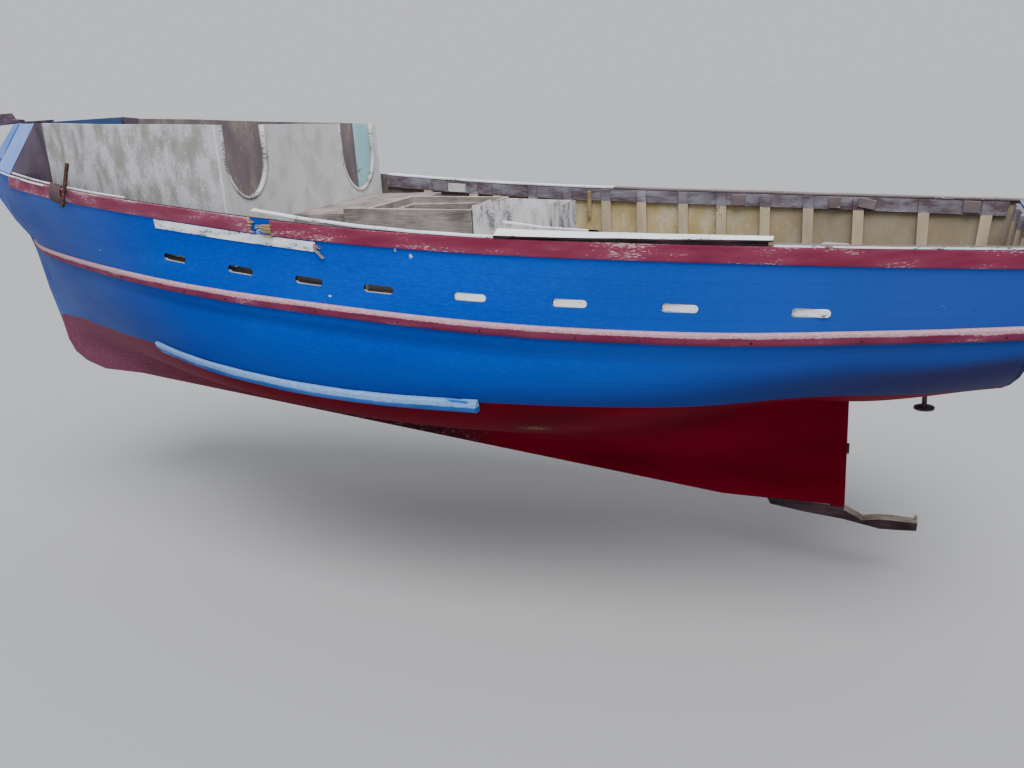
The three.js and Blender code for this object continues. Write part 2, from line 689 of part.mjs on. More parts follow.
function onDeck(solid) {
  return solid.subtract(deckBelow);
}

// The coaming has a ledge inside for hatch boards, and its port timber runs on forward.
function coaming() {
  const [x0, x1] = [HATCH.x[0] - COAMING_THICK, HATCH.x[1] + COAMING_THICK];
  const rise = (COAMING_TOP.fore - COAMING_TOP.aft) / (x1 - x0);
  const foot = deckZ(0) - SCRIBE_DEPTH;
  const outline = (from, to, low, drop) => [
    [from, low], [to, low], [to, COAMING_TOP.aft + rise * (to - x0) - drop],
    [from, COAMING_TOP.aft + rise * (from - x0) - drop],
  ];
  const halfThick = COAMING_THICK / 2;
  const carlingY = HATCH.y[1] + halfThick;
  const frame = toSolid(plate(outline(x0, x1, foot, 0), 0, carlingY + halfThick, 0));
  const carling = toSolid(plate(outline(x0, CARLING_END, foot, 0), carlingY, halfThick, 0));
  const { wide, deep } = COAMING_LEDGE;
  const sunk = outline(HATCH.x[0] - wide, HATCH.x[1] + wide, COAMING_TOP.aft - deep, -ABOVE_ALL);
  const recess = toSolid(plate(sunk, 0, HATCH.y[1] + wide, 0));
  return onDeck(frame.add(carling).subtract(recess).subtract(hatchCut));
}
addPart('hatch_coaming', toGeometry(coaming()), PAINT.coaming);

// The casing has lost its top, and its walls are broken down: x, z of what is gone to port and starboard
const CASING = { x: [-2250, -1226], y: [-500, 690], foot: 1120, top: 2025, wall: 40 };
const OVER_CASING = 2100;
const CASING_BREAK = [
  [-2300, OVER_CASING], [-2300, 2000], [-2110, 1985], [-1880, 1960], [-1670, 1935], [-1560, 1945],
  [-1400, 2030], [-1400, OVER_CASING],
];
const CASING_WORN = [[-2300, OVER_CASING], [-2300, 1918], [-1200, 1972], [-1200, OVER_CASING]];
const WORN_TO_Y = 120;

function casing() {
  const [x0, x1] = CASING.x;
  const [y0, y1] = CASING.y;
  const { wall } = CASING;
  const outer = toSolid(block(CASING.x, CASING.y, [CASING.foot, CASING.top]));
  const inner = toSolid(block([x0 + wall, x1 - wall], [y0 + wall, y1 - wall], [0, ABOVE_ALL]));
  const breakHalf = (y1 - WORN_TO_Y) / 2 + GAP;
  const wornHalf = (WORN_TO_Y - y0) / 2 + GAP;
  const broken = toSolid(plate(CASING_BREAK, WORN_TO_Y + breakHalf, breakHalf, 0));
  const worn = toSolid(plate(CASING_WORN, WORN_TO_Y - wornHalf, wornHalf, 0));
  return onDeck(outer.subtract(inner).subtract(broken).subtract(worn));
}
addPart('engine_casing', toGeometry(casing()), PAINT.grey);

const STEP = { x: [364, 1570], y: [-1750, 585], foot: 1380, top: 1930 };
const step = onDeck(toSolid(block(STEP.x, STEP.y, [STEP.foot, STEP.top])));
addPart('hatch_step', toGeometry(step), PAINT.coaming);

// Forecastle: two sides, the after bulkhead with its two notches, and the breaks to the bow bulwarks.
// The roof deck is gone, and the cut is lower on the starboard side.

const FORECASTLE_X = [1600, 2600, 3600, 4600, 5450];
const FORECASTLE_Y = [2030, 1900, 1690, 1380, 1030];
const TOP_PORT = [3236, 3280, 3312, 3348, 3372];
const TOP_STARBOARD = [3020, 3090, 3165, 3260, 3330];
const WALL = 40;
const WALL_FOOT = 8;
const sideWallY = (x) => curveThrough(FORECASTLE_X, FORECASTLE_Y, x);

function forecastleWall(xs, tops, outer, inner) {
  const sheet = (inset) => xs.map((x) => {
    const y = sideWallY(x) - inset;
    return [[x, y, deckZ(x) + deckCamber(x, y) + WALL_FOOT], [x, y, curveThrough(FORECASTLE_X, tops, x)]];
  });
  return toGeometry(toSolid(bodyBetween(sheet(outer), sheet(inner))));
}
const wallCuts = [BULKHEAD_X + 22, 2200, ...steps(2600, BREAK_X, 6)];
addPart('forecastle_side_port', forecastleWall(wallCuts, TOP_PORT, 0, WALL), PAINT.grey);
addPart('forecastle_side_starboard', flip(forecastleWall(wallCuts, TOP_STARBOARD, 0, WALL)), PAINT.grey);

// Lining boards inside the starboard side, teal next to the bulkhead and brown further on
const TEAL_CUTS = [BULKHEAD_X + 30, 1950];
const BROWN_CUTS = [1954, 2200, ...steps(2600, BREAK_X - 10, 6)];
const LINING = [WALL + 8, WALL + 24];
addPart('forecastle_lining_aft', flip(forecastleWall(TEAL_CUTS, TOP_STARBOARD, ...LINING)), PAINT.teal);
addPart('forecastle_lining_fore', flip(forecastleWall(BROWN_CUTS, TOP_STARBOARD, ...LINING)), PAINT.brown);

const NOTCHES = [
  { middle: 1480, half: 430, low: 2290 },
  { middle: -1385, half: 475, low: 2060 },
];
const NOTCH_CUT = 200;

function notch({ middle, half, low }) {
  const rise = 1.25 * half;
  const height = ABOVE_ALL - low;
  const shape = new THREE.Shape();
  shape.moveTo(-half, height);
  shape.lineTo(-half, rise);
  shape.absellipse(0, rise, half, rise, Math.PI, 2 * Math.PI, false, 0);
  shape.lineTo(half, height);
  const body = new THREE.ExtrudeGeometry(shape, { depth: NOTCH_CUT, bevelEnabled: false, curveSegments: 12 });
  body.rotateX(Math.PI / 2);
  body.rotateZ(Math.PI / 2);
  body.translate(BULKHEAD_X - NOTCH_CUT / 2, middle, low);
  return toSolid(body);
}

function bulkhead() {
  const face = (x) => steps(-FORECASTLE_Y[0], FORECASTLE_Y[0], 4).map((y) => {
    const share = (y + FORECASTLE_Y[0]) / (2 * FORECASTLE_Y[0]);
    const top = TOP_STARBOARD[0] + (TOP_PORT[0] - TOP_STARBOARD[0]) * share;
    return [[x, y, deckZ(BULKHEAD_X) + deckCamber(BULKHEAD_X, y) + WALL_FOOT], [x, y, top]];
  });
  const wall = toSolid(bodyBetween(face(BULKHEAD_X - WALL / 2), face(BULKHEAD_X + WALL / 2)));
  return NOTCHES.reduce((body, cut) => body.subtract(notch(cut)), wall);
}
addPart('forecastle_bulkhead', toGeometry(bulkhead()), PAINT.grey);

// Bow bulwarks, from the sheer up to the stem head, leaning inboard
const WING = {
  aftLow: 5980,
  aftTop: 5700,
  foreTop: 6915,
  topY: [930, 760, 560, 330, 74],
  topZ: 3372,
  off: 3,
};

function wing(outer, inner) {
  const sheet = (inset) => WING.topY.map((topY, i) => {
    const share = i / (WING.topY.length - 1);
    const low = WING.aftLow + share * (BOW_X - WING.aftLow);
    const [x0, y0, z0] = sidePoint(low, sheer(low));
    const x1 = WING.aftTop + share * (WING.foreTop - WING.aftTop);
    return [0, 0.5, 1].map((rise) => [
      x0 + (x1 - x0) * rise,
      Math.max(y0 + (topY - y0) * rise - inset, PLANK_END.half - inset),
      z0 + WING.off + (WING.topZ - z0 - WING.off) * rise,
    ]);
  });
  return toSolid(bodyBetween(sheet(outer), sheet(inner)));
}
const bowBulwark = wing(0, PLANK);
addPair('bow_bulwark', bowBulwark, PAINT.blue);

// The breaks close the forecastle's sides to the bow bulwarks.
const BREAK = { foot: 1960, footFore: [5900, 1190], knee: [5990, 1262], topFore: [5712, 925] };
const WELL_OUTSIDE = -200;

// Stretch of planking that the break panel is cut to, and how much thicker it is taken
const BREAK_SKIN = { from: 5200, to: 6450, extra: 6 };

function breakPanel(topZ) {
  const y = FORECASTLE_Y.at(-1);
  const aft = BREAK_X + 1;
  const { foot, footFore, knee, topFore } = BREAK;
  const kneeZ = sheer(WING.aftLow) + 8;
  const edge = (inset) => [
    [[aft, y - inset, foot], [footFore[0], footFore[1] - inset, foot]],
    [[aft, y - inset, sheer(WING.aftTop)], [knee[0], knee[1] - inset, kneeZ]],
    [[aft, y - inset, topZ], [topFore[0], topFore[1] - inset, WING.topZ]],
  ];
  const panel = toSolid(bodyBetween(edge(0), edge(WALL)));
  const nearSkin = strip(BREAK_SKIN.from, BREAK_SKIN.to, skinHeights, WELL_OUTSIDE, PLANK + BREAK_SKIN.extra);
  return panel.subtract(wing(WELL_OUTSIDE, PLANK + 2)).subtract(nearSkin);
}
addPart('forecastle_break_port', toGeometry(breakPanel(TOP_PORT.at(-1))), PAINT.brown);
addPart('forecastle_break_starboard', flip(toGeometry(breakPanel(TOP_STARBOARD.at(-1)))), PAINT.brown);

// Transom and what crosses the stern

const TRANSOM_FACE = AFT_END - 2 - TRANSOM_THICK;
const ACROSS = [1, 0.5, 0, -0.5, -1];

function transom() {
  const shares = [...BOTTOM_STEPS.filter((_, i) => i % 2 === 0), 1];
  const outline = shares.map((t) => counterPoint(-HALF_LENGTH, t));
  const turnZ = outline.at(-1)[1];
  for (const z of steps(turnZ, sheer(-HALF_LENGTH), 4).slice(1)) outline.push([sideY(-HALF_LENGTH, z), z]);
  const sheet = (x) => outline.map(([y, z]) => ACROSS.map((share) => [leanedX(x, z), share * y, z]));
  return toSolid(bodyBetween(sheet(AFT_END - 2), sheet(TRANSOM_FACE)));
}
addPart('transom', toGeometry(transom()), PAINT.blue);

// A band across the stern between two heights and two faces
function sternBand([z0, z1], [x0, x1], reach) {
  const band = (x) => [z0, z1].map((z) => (
    ACROSS.map((share) => [leanedX(x, z), share * (sideY(-HALF_LENGTH, z) + reach), z])
  ));
  return toSolid(bodyBetween(band(x0), band(x1)));
}
const sternRub = rub(-HALF_LENGTH);
const sternSheer = sheer(-HALF_LENGTH);
const bandStart = TRANSOM_FACE - 0.5;
addPart('rub_strake_stern', toGeometry(sternBand(
  [sternRub - RUB_HALF, sternRub + RUB_HALF], [bandStart, TRANSOM_FACE - RUB_PROUD], RUB_PROUD,
)), PAINT.strake);
addPart('gunwale_strake_stern', toGeometry(sternBand(
  [sternSheer - GUNWALE_HEIGHT, sternSheer], [bandStart, TRANSOM_FACE - GUNWALE.proud], GUNWALE.proud,
)), PAINT.crimson);
addPart('cap_board_stern', toGeometry(sternBand(
  [sternSheer + CAP.off, sternSheer + CAP.off + CAP.thick], [AFT_END - 4, TRANSOM_FACE - CAP.over], CAP.over,
)), PAINT.white);

const STERN_STANCHIONS_Y = [-1200, -600, 0, 600, 1200];
function sternFrames() {
  const high = sternSheer - STRINGER.drop;
  const depth = [AFT_END + 3, AFT_END + STRINGER.deep];
  const rail = sternBand([high - STRINGER.height, high], depth, -PLANK - STRINGER.short);
  const foot = deckZ(AFT_END) + BEAM_CAMBER + 6;
  return STERN_STANCHIONS_Y.reduce((body, y) => {
    const edges = [y - STANCHION.half, y + STANCHION.half];
    const face = (x) => [foot, high].map((z) => edges.map((edge) => [leanedX(x, z), edge, z]));
    return body.add(toSolid(bodyBetween(face(depth[0]), face(AFT_END + STANCHION.deep))));
  }, rail);
}
addPart('bulwark_frames_stern', toGeometry(sternFrames()), PAINT.frame);

// Rudder stock with its coupling flange, and the collar that carries it on deck

const STOCK = { flangeLow: -634, flangeHigh: -608, flangeRadius: 122, neckRadius: 45, top: 1290 };

function stock() {
  const { flangeLow, flangeHigh, flangeRadius, neckRadius, top } = STOCK;
  const profile = [
    [0, flangeLow], [flangeRadius, flangeLow], [flangeRadius, flangeHigh], [neckRadius, flangeHigh + 12],
    [STOCK_RADIUS, flangeHigh + 40], [STOCK_RADIUS, top], [0, top],
  ];
  const body = new THREE.LatheGeometry(profile.map(([r, z]) => new THREE.Vector2(r, z)), 24);
  body.rotateX(Math.PI / 2);
  body.translate(STOCK_X, 0, 0);
  return body;
}
addPart('rudder_stock', toGeometry(toSolid(stock())), PAINT.rust, 0.8, 0.5);

const COLLAR = { radius: 110, height: 70, lift: 6 };
const collarZ = deckZ(STOCK_X) + BEAM_CAMBER + COLLAR.lift;
const ring = toSolid(upright(COLLAR.radius, [collarZ, collarZ + COLLAR.height], STOCK_X, 24));
const collar = ring.subtract(stockCut);
addPart('rudder_stock_collar', toGeometry(collar), PAINT.rust, 0.8, 0.5);

// Iron fittings: the lead at the stem head and the pin driven down by the gunwale strake

const HEAD_FITTING = [
  [6940, 3376], [7072, 3376], [7430, 3362], [7430, 3405], [7335, 3545], [7180, 3545], [7120, 3450],
  [6940, 3430],
];
const HEAD_HALF = 65;
const HEAD_CHAMFER = 6;
const leadBody = toSolid(plate(HEAD_FITTING, 0, HEAD_HALF, HEAD_CHAMFER));
addPart('stem_head_fitting', toGeometry(leadBody), PAINT.rust, 0.8, 0.5);

const PIN = { x: 4300, z: 2545, half: 22, off: 18, length: 640, lean: 0.39 };
const pinY = sideY(PIN.x, sheer(PIN.x)) + GUNWALE.proud + PIN.half + PIN.off;
const pin = new THREE.BoxGeometry(2 * PIN.half, 2 * PIN.half, PIN.length);
pin.rotateY(-PIN.lean).translate(PIN.x, pinY, PIN.z);
addPart('gunwale_pin_port', pin, PAINT.rust, 0.8, 0.5);

export default boat;
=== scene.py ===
# %% [markdown]
# A wooden fishing trawler, stripped for its end: no wheelhouse, masts, engine, propeller or rudder, and
# a forecastle without a roof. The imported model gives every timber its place. This script gives the
# timbers their curves, edges, paint and damage.

# %% Load the frame
import math
import random

import bmesh
import bpy
from mathutils import Matrix, Vector, bvhtree, noise


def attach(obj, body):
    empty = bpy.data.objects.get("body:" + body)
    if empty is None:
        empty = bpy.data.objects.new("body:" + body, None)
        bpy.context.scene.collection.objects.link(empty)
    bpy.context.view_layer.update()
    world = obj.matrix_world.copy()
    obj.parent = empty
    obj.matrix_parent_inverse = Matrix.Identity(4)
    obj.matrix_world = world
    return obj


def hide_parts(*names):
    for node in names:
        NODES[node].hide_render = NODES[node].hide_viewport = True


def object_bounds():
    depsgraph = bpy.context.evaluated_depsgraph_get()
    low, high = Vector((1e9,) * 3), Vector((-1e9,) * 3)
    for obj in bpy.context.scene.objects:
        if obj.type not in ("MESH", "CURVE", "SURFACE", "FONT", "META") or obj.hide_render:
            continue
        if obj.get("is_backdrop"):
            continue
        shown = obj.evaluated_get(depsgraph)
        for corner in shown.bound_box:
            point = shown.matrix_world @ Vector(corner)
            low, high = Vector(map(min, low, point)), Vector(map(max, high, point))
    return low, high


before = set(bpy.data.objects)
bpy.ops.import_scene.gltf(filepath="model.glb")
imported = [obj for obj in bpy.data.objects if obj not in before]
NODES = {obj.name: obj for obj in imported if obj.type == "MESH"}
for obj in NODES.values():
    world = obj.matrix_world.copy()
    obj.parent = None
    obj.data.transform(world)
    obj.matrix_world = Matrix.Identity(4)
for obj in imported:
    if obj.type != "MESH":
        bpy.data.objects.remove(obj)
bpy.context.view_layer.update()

# %% [markdown]
# The camera stands off the port quarter, a little above the rail, with its horizon tilted by 3.8 degrees.
# Its place and its three directions were found by fitting the hull's lines. A camera looks along its
# own -Z, so the matrix takes right, up and minus forward as its columns.

# %% Camera
IMAGE_WIDTH = 1024
FOCAL_PIXELS = 963.59
SENSOR_WIDTH = 36.0
EYE = Vector((-6.365, 12.2123, 3.4971))
RIGHT = Vector((-0.93026, -0.36151, -0.06268))
UP = Vector((0.05213, -0.29933, 0.95273))

camera_data = bpy.data.cameras.new("camera")
camera_data.sensor_width = SENSOR_WIDTH
camera_data.lens = FOCAL_PIXELS * SENSOR_WIDTH / IMAGE_WIDTH
camera = bpy.data.objects.new("camera", camera_data)
bpy.context.collection.objects.link(camera)
facing = Matrix((RIGHT, UP, RIGHT.cross(UP))).transposed().to_4x4()
camera.matrix_world = Matrix.Translation(EYE) @ facing
bpy.context.scene.camera = camera
print("camera: lens", round(camera_data.lens, 2), "mm")

# %% [markdown]
# Nodes are added by one small function. Its inputs are either plain values or the output socket of
# another node, which is then linked. Colours are written as sRGB hex, as a paint chart gives them, and
# turned to the linear values that the shader wants.

# %% Node and colour helpers
def add(tree, kind, inputs=None, **settings):
    """Adds a node, sets it up and links what feeds it."""
    node = tree.nodes.new(kind)
    for name, value in settings.items():
        setattr(node, name, value)
    for name, value in (inputs or {}).items():
        if isinstance(value, bpy.types.NodeSocket):
            tree.links.new(value, node.inputs[name])
        else:
            node.inputs[name].default_value = value
    return node


def colour(code):
    """sRGB hex to linear red, green, blue and alpha."""
    shares = [int(code[i : i + 2], 16) / 255 for i in (0, 2, 4)]
    linear = [c / 12.92 if c <= 0.04045 else ((c + 0.055) / 1.055) ** 2.4 for c in shares]
    return (*linear, 1.0)


def per_mm(size):
    """Texture scale that makes a pattern this many millimetres across."""
    return 1000 / size


# Inputs and output of a Mix node that carries colours
SHARE, UNDER, OVER, MIXED = 0, 6, 7, 2


def blend_along(tree, value, start, end, most, under, over):
    """Mixes one colour into another between two values."""
    share = add(
        tree, "ShaderNodeMapRange", {"Value": value, "From Min": start, "From Max": end, "To Max": most}
    )
    return add(
        tree, "ShaderNodeMix", {SHARE: share.outputs[0], UNDER: under, OVER: over}, data_type="RGBA"
    ).outputs[MIXED]


print("colours: middle grey 808080 is", round(colour("808080")[0], 3), "in linear light")

# %% [markdown]
# The floor is plain and pale, a metre under the keel, because the boat hangs. The light is an overcast
# sky, the same from everywhere, with one broad lamp high over the port side that lays a soft shadow under
# each strake. The sky is as bright as the floor looks, so no horizon shows behind the boat.

# %% Floor, sky and lamps
FLOOR_Z = -3.2
FLOOR_HALF = 400
SKY_STRENGTH = 0.78

floor_mesh = bpy.data.meshes.new("floor")
floor_grid = bmesh.new()
bmesh.ops.create_grid(floor_grid, x_segments=1, y_segments=1, size=FLOOR_HALF)
bmesh.ops.translate(floor_grid, verts=floor_grid.verts, vec=(0, 0, FLOOR_Z))
floor_grid.to_mesh(floor_mesh)
floor_grid.free()
floor = bpy.data.objects.new("floor", floor_mesh)
bpy.context.collection.objects.link(floor)
floor_material = bpy.data.materials.new("matt pale floor")
floor_material.use_nodes = True
floor_shader = floor_material.node_tree.nodes["Principled BSDF"]
floor_shader.inputs["Base Color"].default_value = colour("ABACAE")
floor_shader.inputs["Roughness"].default_value = 1.0
floor_shader.inputs["Specular IOR Level"].default_value = 0.0
floor_mesh.materials.append(floor_material)
floor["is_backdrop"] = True

world = bpy.data.worlds.new("overcast sky")
world.use_nodes = True
world.node_tree.nodes["Background"].inputs["Color"].default_value = colour("F2F4F8")
world.node_tree.nodes["Background"].inputs["Strength"].default_value = SKY_STRENGTH
bpy.context.scene.world = world


def sky_lamp(name, strength, spread, toward):
    """A lamp as far as the sun, as broad as a cloud bank."""
    data = bpy.data.lights.new(name, "SUN")
    data.energy = strength
    data.angle = math.radians(spread)
    lamp = bpy.data.objects.new(name, data)
    lamp.rotation_euler = Vector(toward).to_track_quat("-Z", "Y").to_euler()
    bpy.context.collection.objects.link(lamp)


sky_lamp("high port sky", 3.2, 42, (0.28, -0.52, -1.0))
sky_lamp("low starboard sky", 0.35, 80, (-0.3, 0.7, -0.8))
print("stage: floor at", FLOOR_Z, "m")

# %% [markdown]
# Planks and strakes run along the hull, so their paint and their fastenings need to know where they are
# on it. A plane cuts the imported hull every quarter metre, and the cut's points give the gunwale, the
# rubbing strake and the keel at that place. Everything that follows the sheer is measured from these.

# %% Lines of the hull
LINE_STEP = 0.25
LINE_START = -7.75
LINE_COUNT = 61
NEAR_TOP = 0.02
NEAR_FOOT = 0.12
MERGE = 1e-5


def merged(node):
    """A CAD node's loose triangles joined into one skin."""
    skin = bmesh.new()
    skin.from_mesh(NODES[node].data)
    bmesh.ops.remove_doubles(skin, verts=skin.verts, dist=MERGE)
    return skin


def section(skin, x):
    """Points where the plane at x cuts the port half."""
    cut = skin.copy()
    geometry = cut.verts[:] + cut.edges[:] + cut.faces[:]
    found = bmesh.ops.bisect_plane(cut, geom=geometry, plane_co=(x, 0, 0), plane_no=(1, 0, 0))
    points = [v.co.copy() for v in found["geom_cut"] if isinstance(v, bmesh.types.BMVert)]
    cut.free()
    return [p for p in points if p.y > -MERGE]


side_skin = merged("topside_port")
bottom_skin = merged("hull")
LINES = []
for i in range(LINE_COUNT):
    x = LINE_START + i * LINE_STEP
    side_cut = section(side_skin, x)
    bottom_cut = section(bottom_skin, x)
    if not side_cut or not bottom_cut:
        continue
    high = max(p.z for p in side_cut)
    low = min(p.z for p in side_cut)
    LINES.append({
        "x": x,
        "sheer_z": high,
        "sheer_y": max(p.y for p in side_cut if p.z > high - NEAR_TOP),
        "rub_z": low,
        "rub_y": max(p.y for p in side_cut if p.z < low + NEAR_FOOT),
        "keel_z": min(p.z for p in bottom_cut),
    })
side_skin.free()
bottom_skin.free()


def line(name, x):
    """Value of a hull line at x."""
    place = min(max((x - LINES[0]["x"]) / LINE_STEP, 0), len(LINES) - 1.001)
    i = int(place)
    part = place - i
    return LINES[i][name] * (1 - part) + LINES[i + 1][name] * part


print("hull lines:", len(LINES), "stations, sheer amidships", round(line("sheer_z", 0), 3), "m")

# %% [markdown]
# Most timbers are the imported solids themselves, merged and rounded. A curved piece gets its pairs of
# triangles joined to quads and then a Subdivision Surface, with its sharp edges creased so that they
# stay. A sawn timber gets a small bevel instead, because a real arris is never perfectly sharp.

# %% Making a piece from a skin
SHARP = math.radians(32)
NEARLY_FLAT = math.radians(9)
SQUARENESS = math.radians(60)
FLAT = math.radians(0.6)


def place_piece(skin, name, materials, replaces=(), body="boat"):
    """Turns the skin into a named piece that rides on a body."""
    for face in skin.faces:
        face.smooth = True
    mesh = bpy.data.meshes.new(name)
    skin.to_mesh(mesh)
    skin.free()
    mesh.set_sharp_from_angle(angle=SHARP)
    for material in materials:
        mesh.materials.append(material)
    piece = bpy.data.objects.new(name, mesh)
    bpy.context.collection.objects.link(piece)
    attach(piece, body)
    if replaces:
        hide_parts(*replaces)
    return piece


def subdivide(piece, levels):
    """Rounds a piece with a Subdivision Surface."""
    modifier = piece.modifiers.new("rounding", "SUBSURF")
    modifier.levels = levels
    modifier.render_levels = levels


def ease_edges(piece, width):
    """Takes the arris off every sharp edge."""
    modifier = piece.modifiers.new("eased edges", "BEVEL")
    modifier.width = width
    modifier.segments = 2
    modifier.limit_method = "ANGLE"
    modifier.angle_limit = SHARP
    modifier.harden_normals = True


def crease_sharp_edges(skin):
    """Keeps every sharp edge through a Subdivision Surface."""
    layer = skin.edges.layers.float.get("crease_edge") or skin.edges.layers.float.new("crease_edge")
    for edge in skin.edges:
        if len(edge.link_faces) == 2 and edge.calc_face_angle() > SHARP:
            edge[layer] = 1.0


def curved_skin(node):
    """A merged node with quads, ready to be subdivided."""
    skin = merged(node)
    bmesh.ops.join_triangles(
        skin, faces=skin.faces, angle_face_threshold=NEARLY_FLAT, angle_shape_threshold=SQUARENESS
    )
    return skin


def sawn_skin(node):
    """A merged node whose flat faces are whole."""
    skin = merged(node)
    bmesh.ops.dissolve_limit(skin, angle_limit=FLAT, verts=skin.verts, edges=skin.edges)
    return skin


print("skins: sharp edges from", round(math.degrees(SHARP)), "degrees")

# %% [markdown]
# Old timber is not straight. Long edges are cut into short lengths, and every point is then moved a few
# millimetres by a smooth noise, so that a board's outline wavers as a worn one does. The noise takes its
# seed from the clock unless it is given one, so it is given one.

# %% Wear of the shape
NOISE_SEED = 1
CUT_ROUNDS = 6
CUT_OVER = 1.6
noise.seed_set(NOISE_SEED)


def cut_long_edges(skin, length):
    """Divides edges until none is much longer than this."""
    for _ in range(CUT_ROUNDS):
        long_edges = [e for e in skin.edges if e.calc_length() > length * CUT_OVER]
        if not long_edges:
            return
        bmesh.ops.subdivide_edges(skin, edges=long_edges, cuts=1, use_grid_fill=True)


def waver(skin, amount, size):
    """Moves each point by a smooth noise."""
    for vert in skin.verts:
        vert.co += noise.noise_vector(vert.co / size) * amount


print("wear: noise seeded with", NOISE_SEED)

# %% [markdown]
# A paint that follows the hull's lines has to know where on the hull it is. Each point stores a number, and
# a material reads it as an attribute: how many planks it lies above or below the rubbing strake, or how
# high it stands on its own moulding.

# %% Numbers for the paint
PLANKS_ABOVE = 5
PLANKS_BELOW = 15


def number_points(skin, name, number_at):
    """Stores a number on each point under this name."""
    layer = skin.verts.layers.float.new(name)
    for vert in skin.verts:
        vert[layer] = number_at(vert.co)


def planks_from_strake(place):
    """How many planks a place lies from the rubbing strake: up is positive, down is negative."""
    rub = line("rub_z", place.x)
    if place.z >= rub:
        return PLANKS_ABOVE * (place.z - rub) / (line("sheer_z", place.x) - rub)
    half = line("rub_y", place.x)
    girth = rub - line("keel_z", place.x) + half
    return -PLANKS_BELOW * (rub - place.z + max(half - abs(place.y), 0)) / girth


def share_of_height(skin, reach):
    """Tells how high a place stands among the points whose x is within reach of its own, from 0 to 1."""
    points = [vert.co.copy() for vert in skin.verts]

    def share(place):
        heights = [p.z for p in points if abs(p.x - place.x) < reach]
        return (place.z - min(heights)) / max(max(heights) - min(heights), MERGE)

    return share


print("numbers:", PLANKS_ABOVE, "planks above the strake and", PLANKS_BELOW, "below")

# %% [markdown]
# Oil paint over pine and oak. Paint on an old boat is never one colour: sun and washing fade it in
# patches, it flakes at seams and nails, and the wood under it shows grey or tan. One recipe gives every
# painted timber that life. Each finish below has its own colours, its own amount of wear, and a grain
# direction, because flakes and scratches are long along the board and short across it.

# %% Painted timber
ALONG_X = (0.3, 1.0, 1.0)
ALONG_Z = (1.0, 1.0, 0.28)
SHEET = (1.0, 1.0, 0.6)
STREAKED = (1.0, 1.0, 0.4)
GRAIN_MM = 8
# Paint with no wear at all would be gone where patch and chip noise together reach this
PAINT_HOLDS = 1.4
FLAKE_EDGE = 0.03


def painted_timber(name, paint, faded, bare, wear, chip_mm=26, patch_mm=450, stretch=ALONG_X, gloss=0.15):
    """Paint that fades in patches and flakes off to bare wood. Returns the material and its sockets."""
    material = bpy.data.materials.new(name)
    material.use_nodes = True
    tree = material.node_tree
    shader = tree.nodes["Principled BSDF"]
    place = add(tree, "ShaderNodeTexCoord").outputs["Object"]
    drawn = add(tree, "ShaderNodeMapping", {"Vector": place, "Scale": stretch}).outputs["Vector"]
    patches = add(tree, "ShaderNodeTexNoise", {"Vector": drawn, "Scale": per_mm(patch_mm), "Detail": 5.0})
    chips = add(
        tree, "ShaderNodeTexNoise",
        {"Vector": drawn, "Scale": per_mm(chip_mm), "Detail": 6.0, "Roughness": 0.65},
    )
    brushed = add(tree, "ShaderNodeMapping", {"Vector": drawn, "Scale": tuple(s * s for s in stretch)})
    grain = add(
        tree, "ShaderNodeTexNoise",
        {"Vector": brushed.outputs["Vector"], "Scale": per_mm(GRAIN_MM), "Detail": 3.0},
    )
    # Where a broad patch and a small chip are both strong, the paint is gone.
    both = add(
        tree, "ShaderNodeMath", {0: patches.outputs["Fac"], 1: chips.outputs["Fac"]}, operation="ADD"
    )
    gone_from = PAINT_HOLDS - wear
    gone = add(
        tree, "ShaderNodeMapRange",
        {"Value": both.outputs[0], "From Min": gone_from, "From Max": gone_from + FLAKE_EDGE},
    )
    fade = add(
        tree, "ShaderNodeMapRange",
        {"Value": patches.outputs["Fac"], "From Min": 0.36, "From Max": 0.64},
    )
    coat = add(
        tree, "ShaderNodeMix",
        {SHARE: fade.outputs[0], UNDER: colour(paint), OVER: colour(faded)}, data_type="RGBA",
    )
    wood_dark = (*(c * 0.5 for c in colour(bare)[:3]), 1.0)
    wood = add(
        tree, "ShaderNodeMix",
        {SHARE: grain.outputs["Fac"], UNDER: wood_dark, OVER: colour(bare)}, data_type="RGBA",
    )
    surface = add(
        tree, "ShaderNodeMix",
        {SHARE: gone.outputs[0], UNDER: coat.outputs[MIXED], OVER: wood.outputs[MIXED]}, data_type="RGBA",
    )
    film = add(tree, "ShaderNodeMath", {0: grain.outputs["Fac"], 1: gone.outputs[0]}, operation="SUBTRACT")
    bump = add(tree, "ShaderNodeBump", {"Height": film.outputs[0], "Strength": 0.4, "Distance": 0.0015})
    tree.links.new(surface.outputs[MIXED], shader.inputs["Base Color"])
    tree.links.new(bump.outputs["Normal"], shader.inputs["Normal"])
    shader.inputs["Roughness"].default_value = 0.6
    shader.inputs["Specular IOR Level"].default_value = gloss
    return material, {
        "tree": tree, "shader": shader, "place": place, "surface": surface.outputs[MIXED],
        "patches": patches.outputs["Fac"], "chips": chips.outputs["Fac"], "bump": bump,
    }


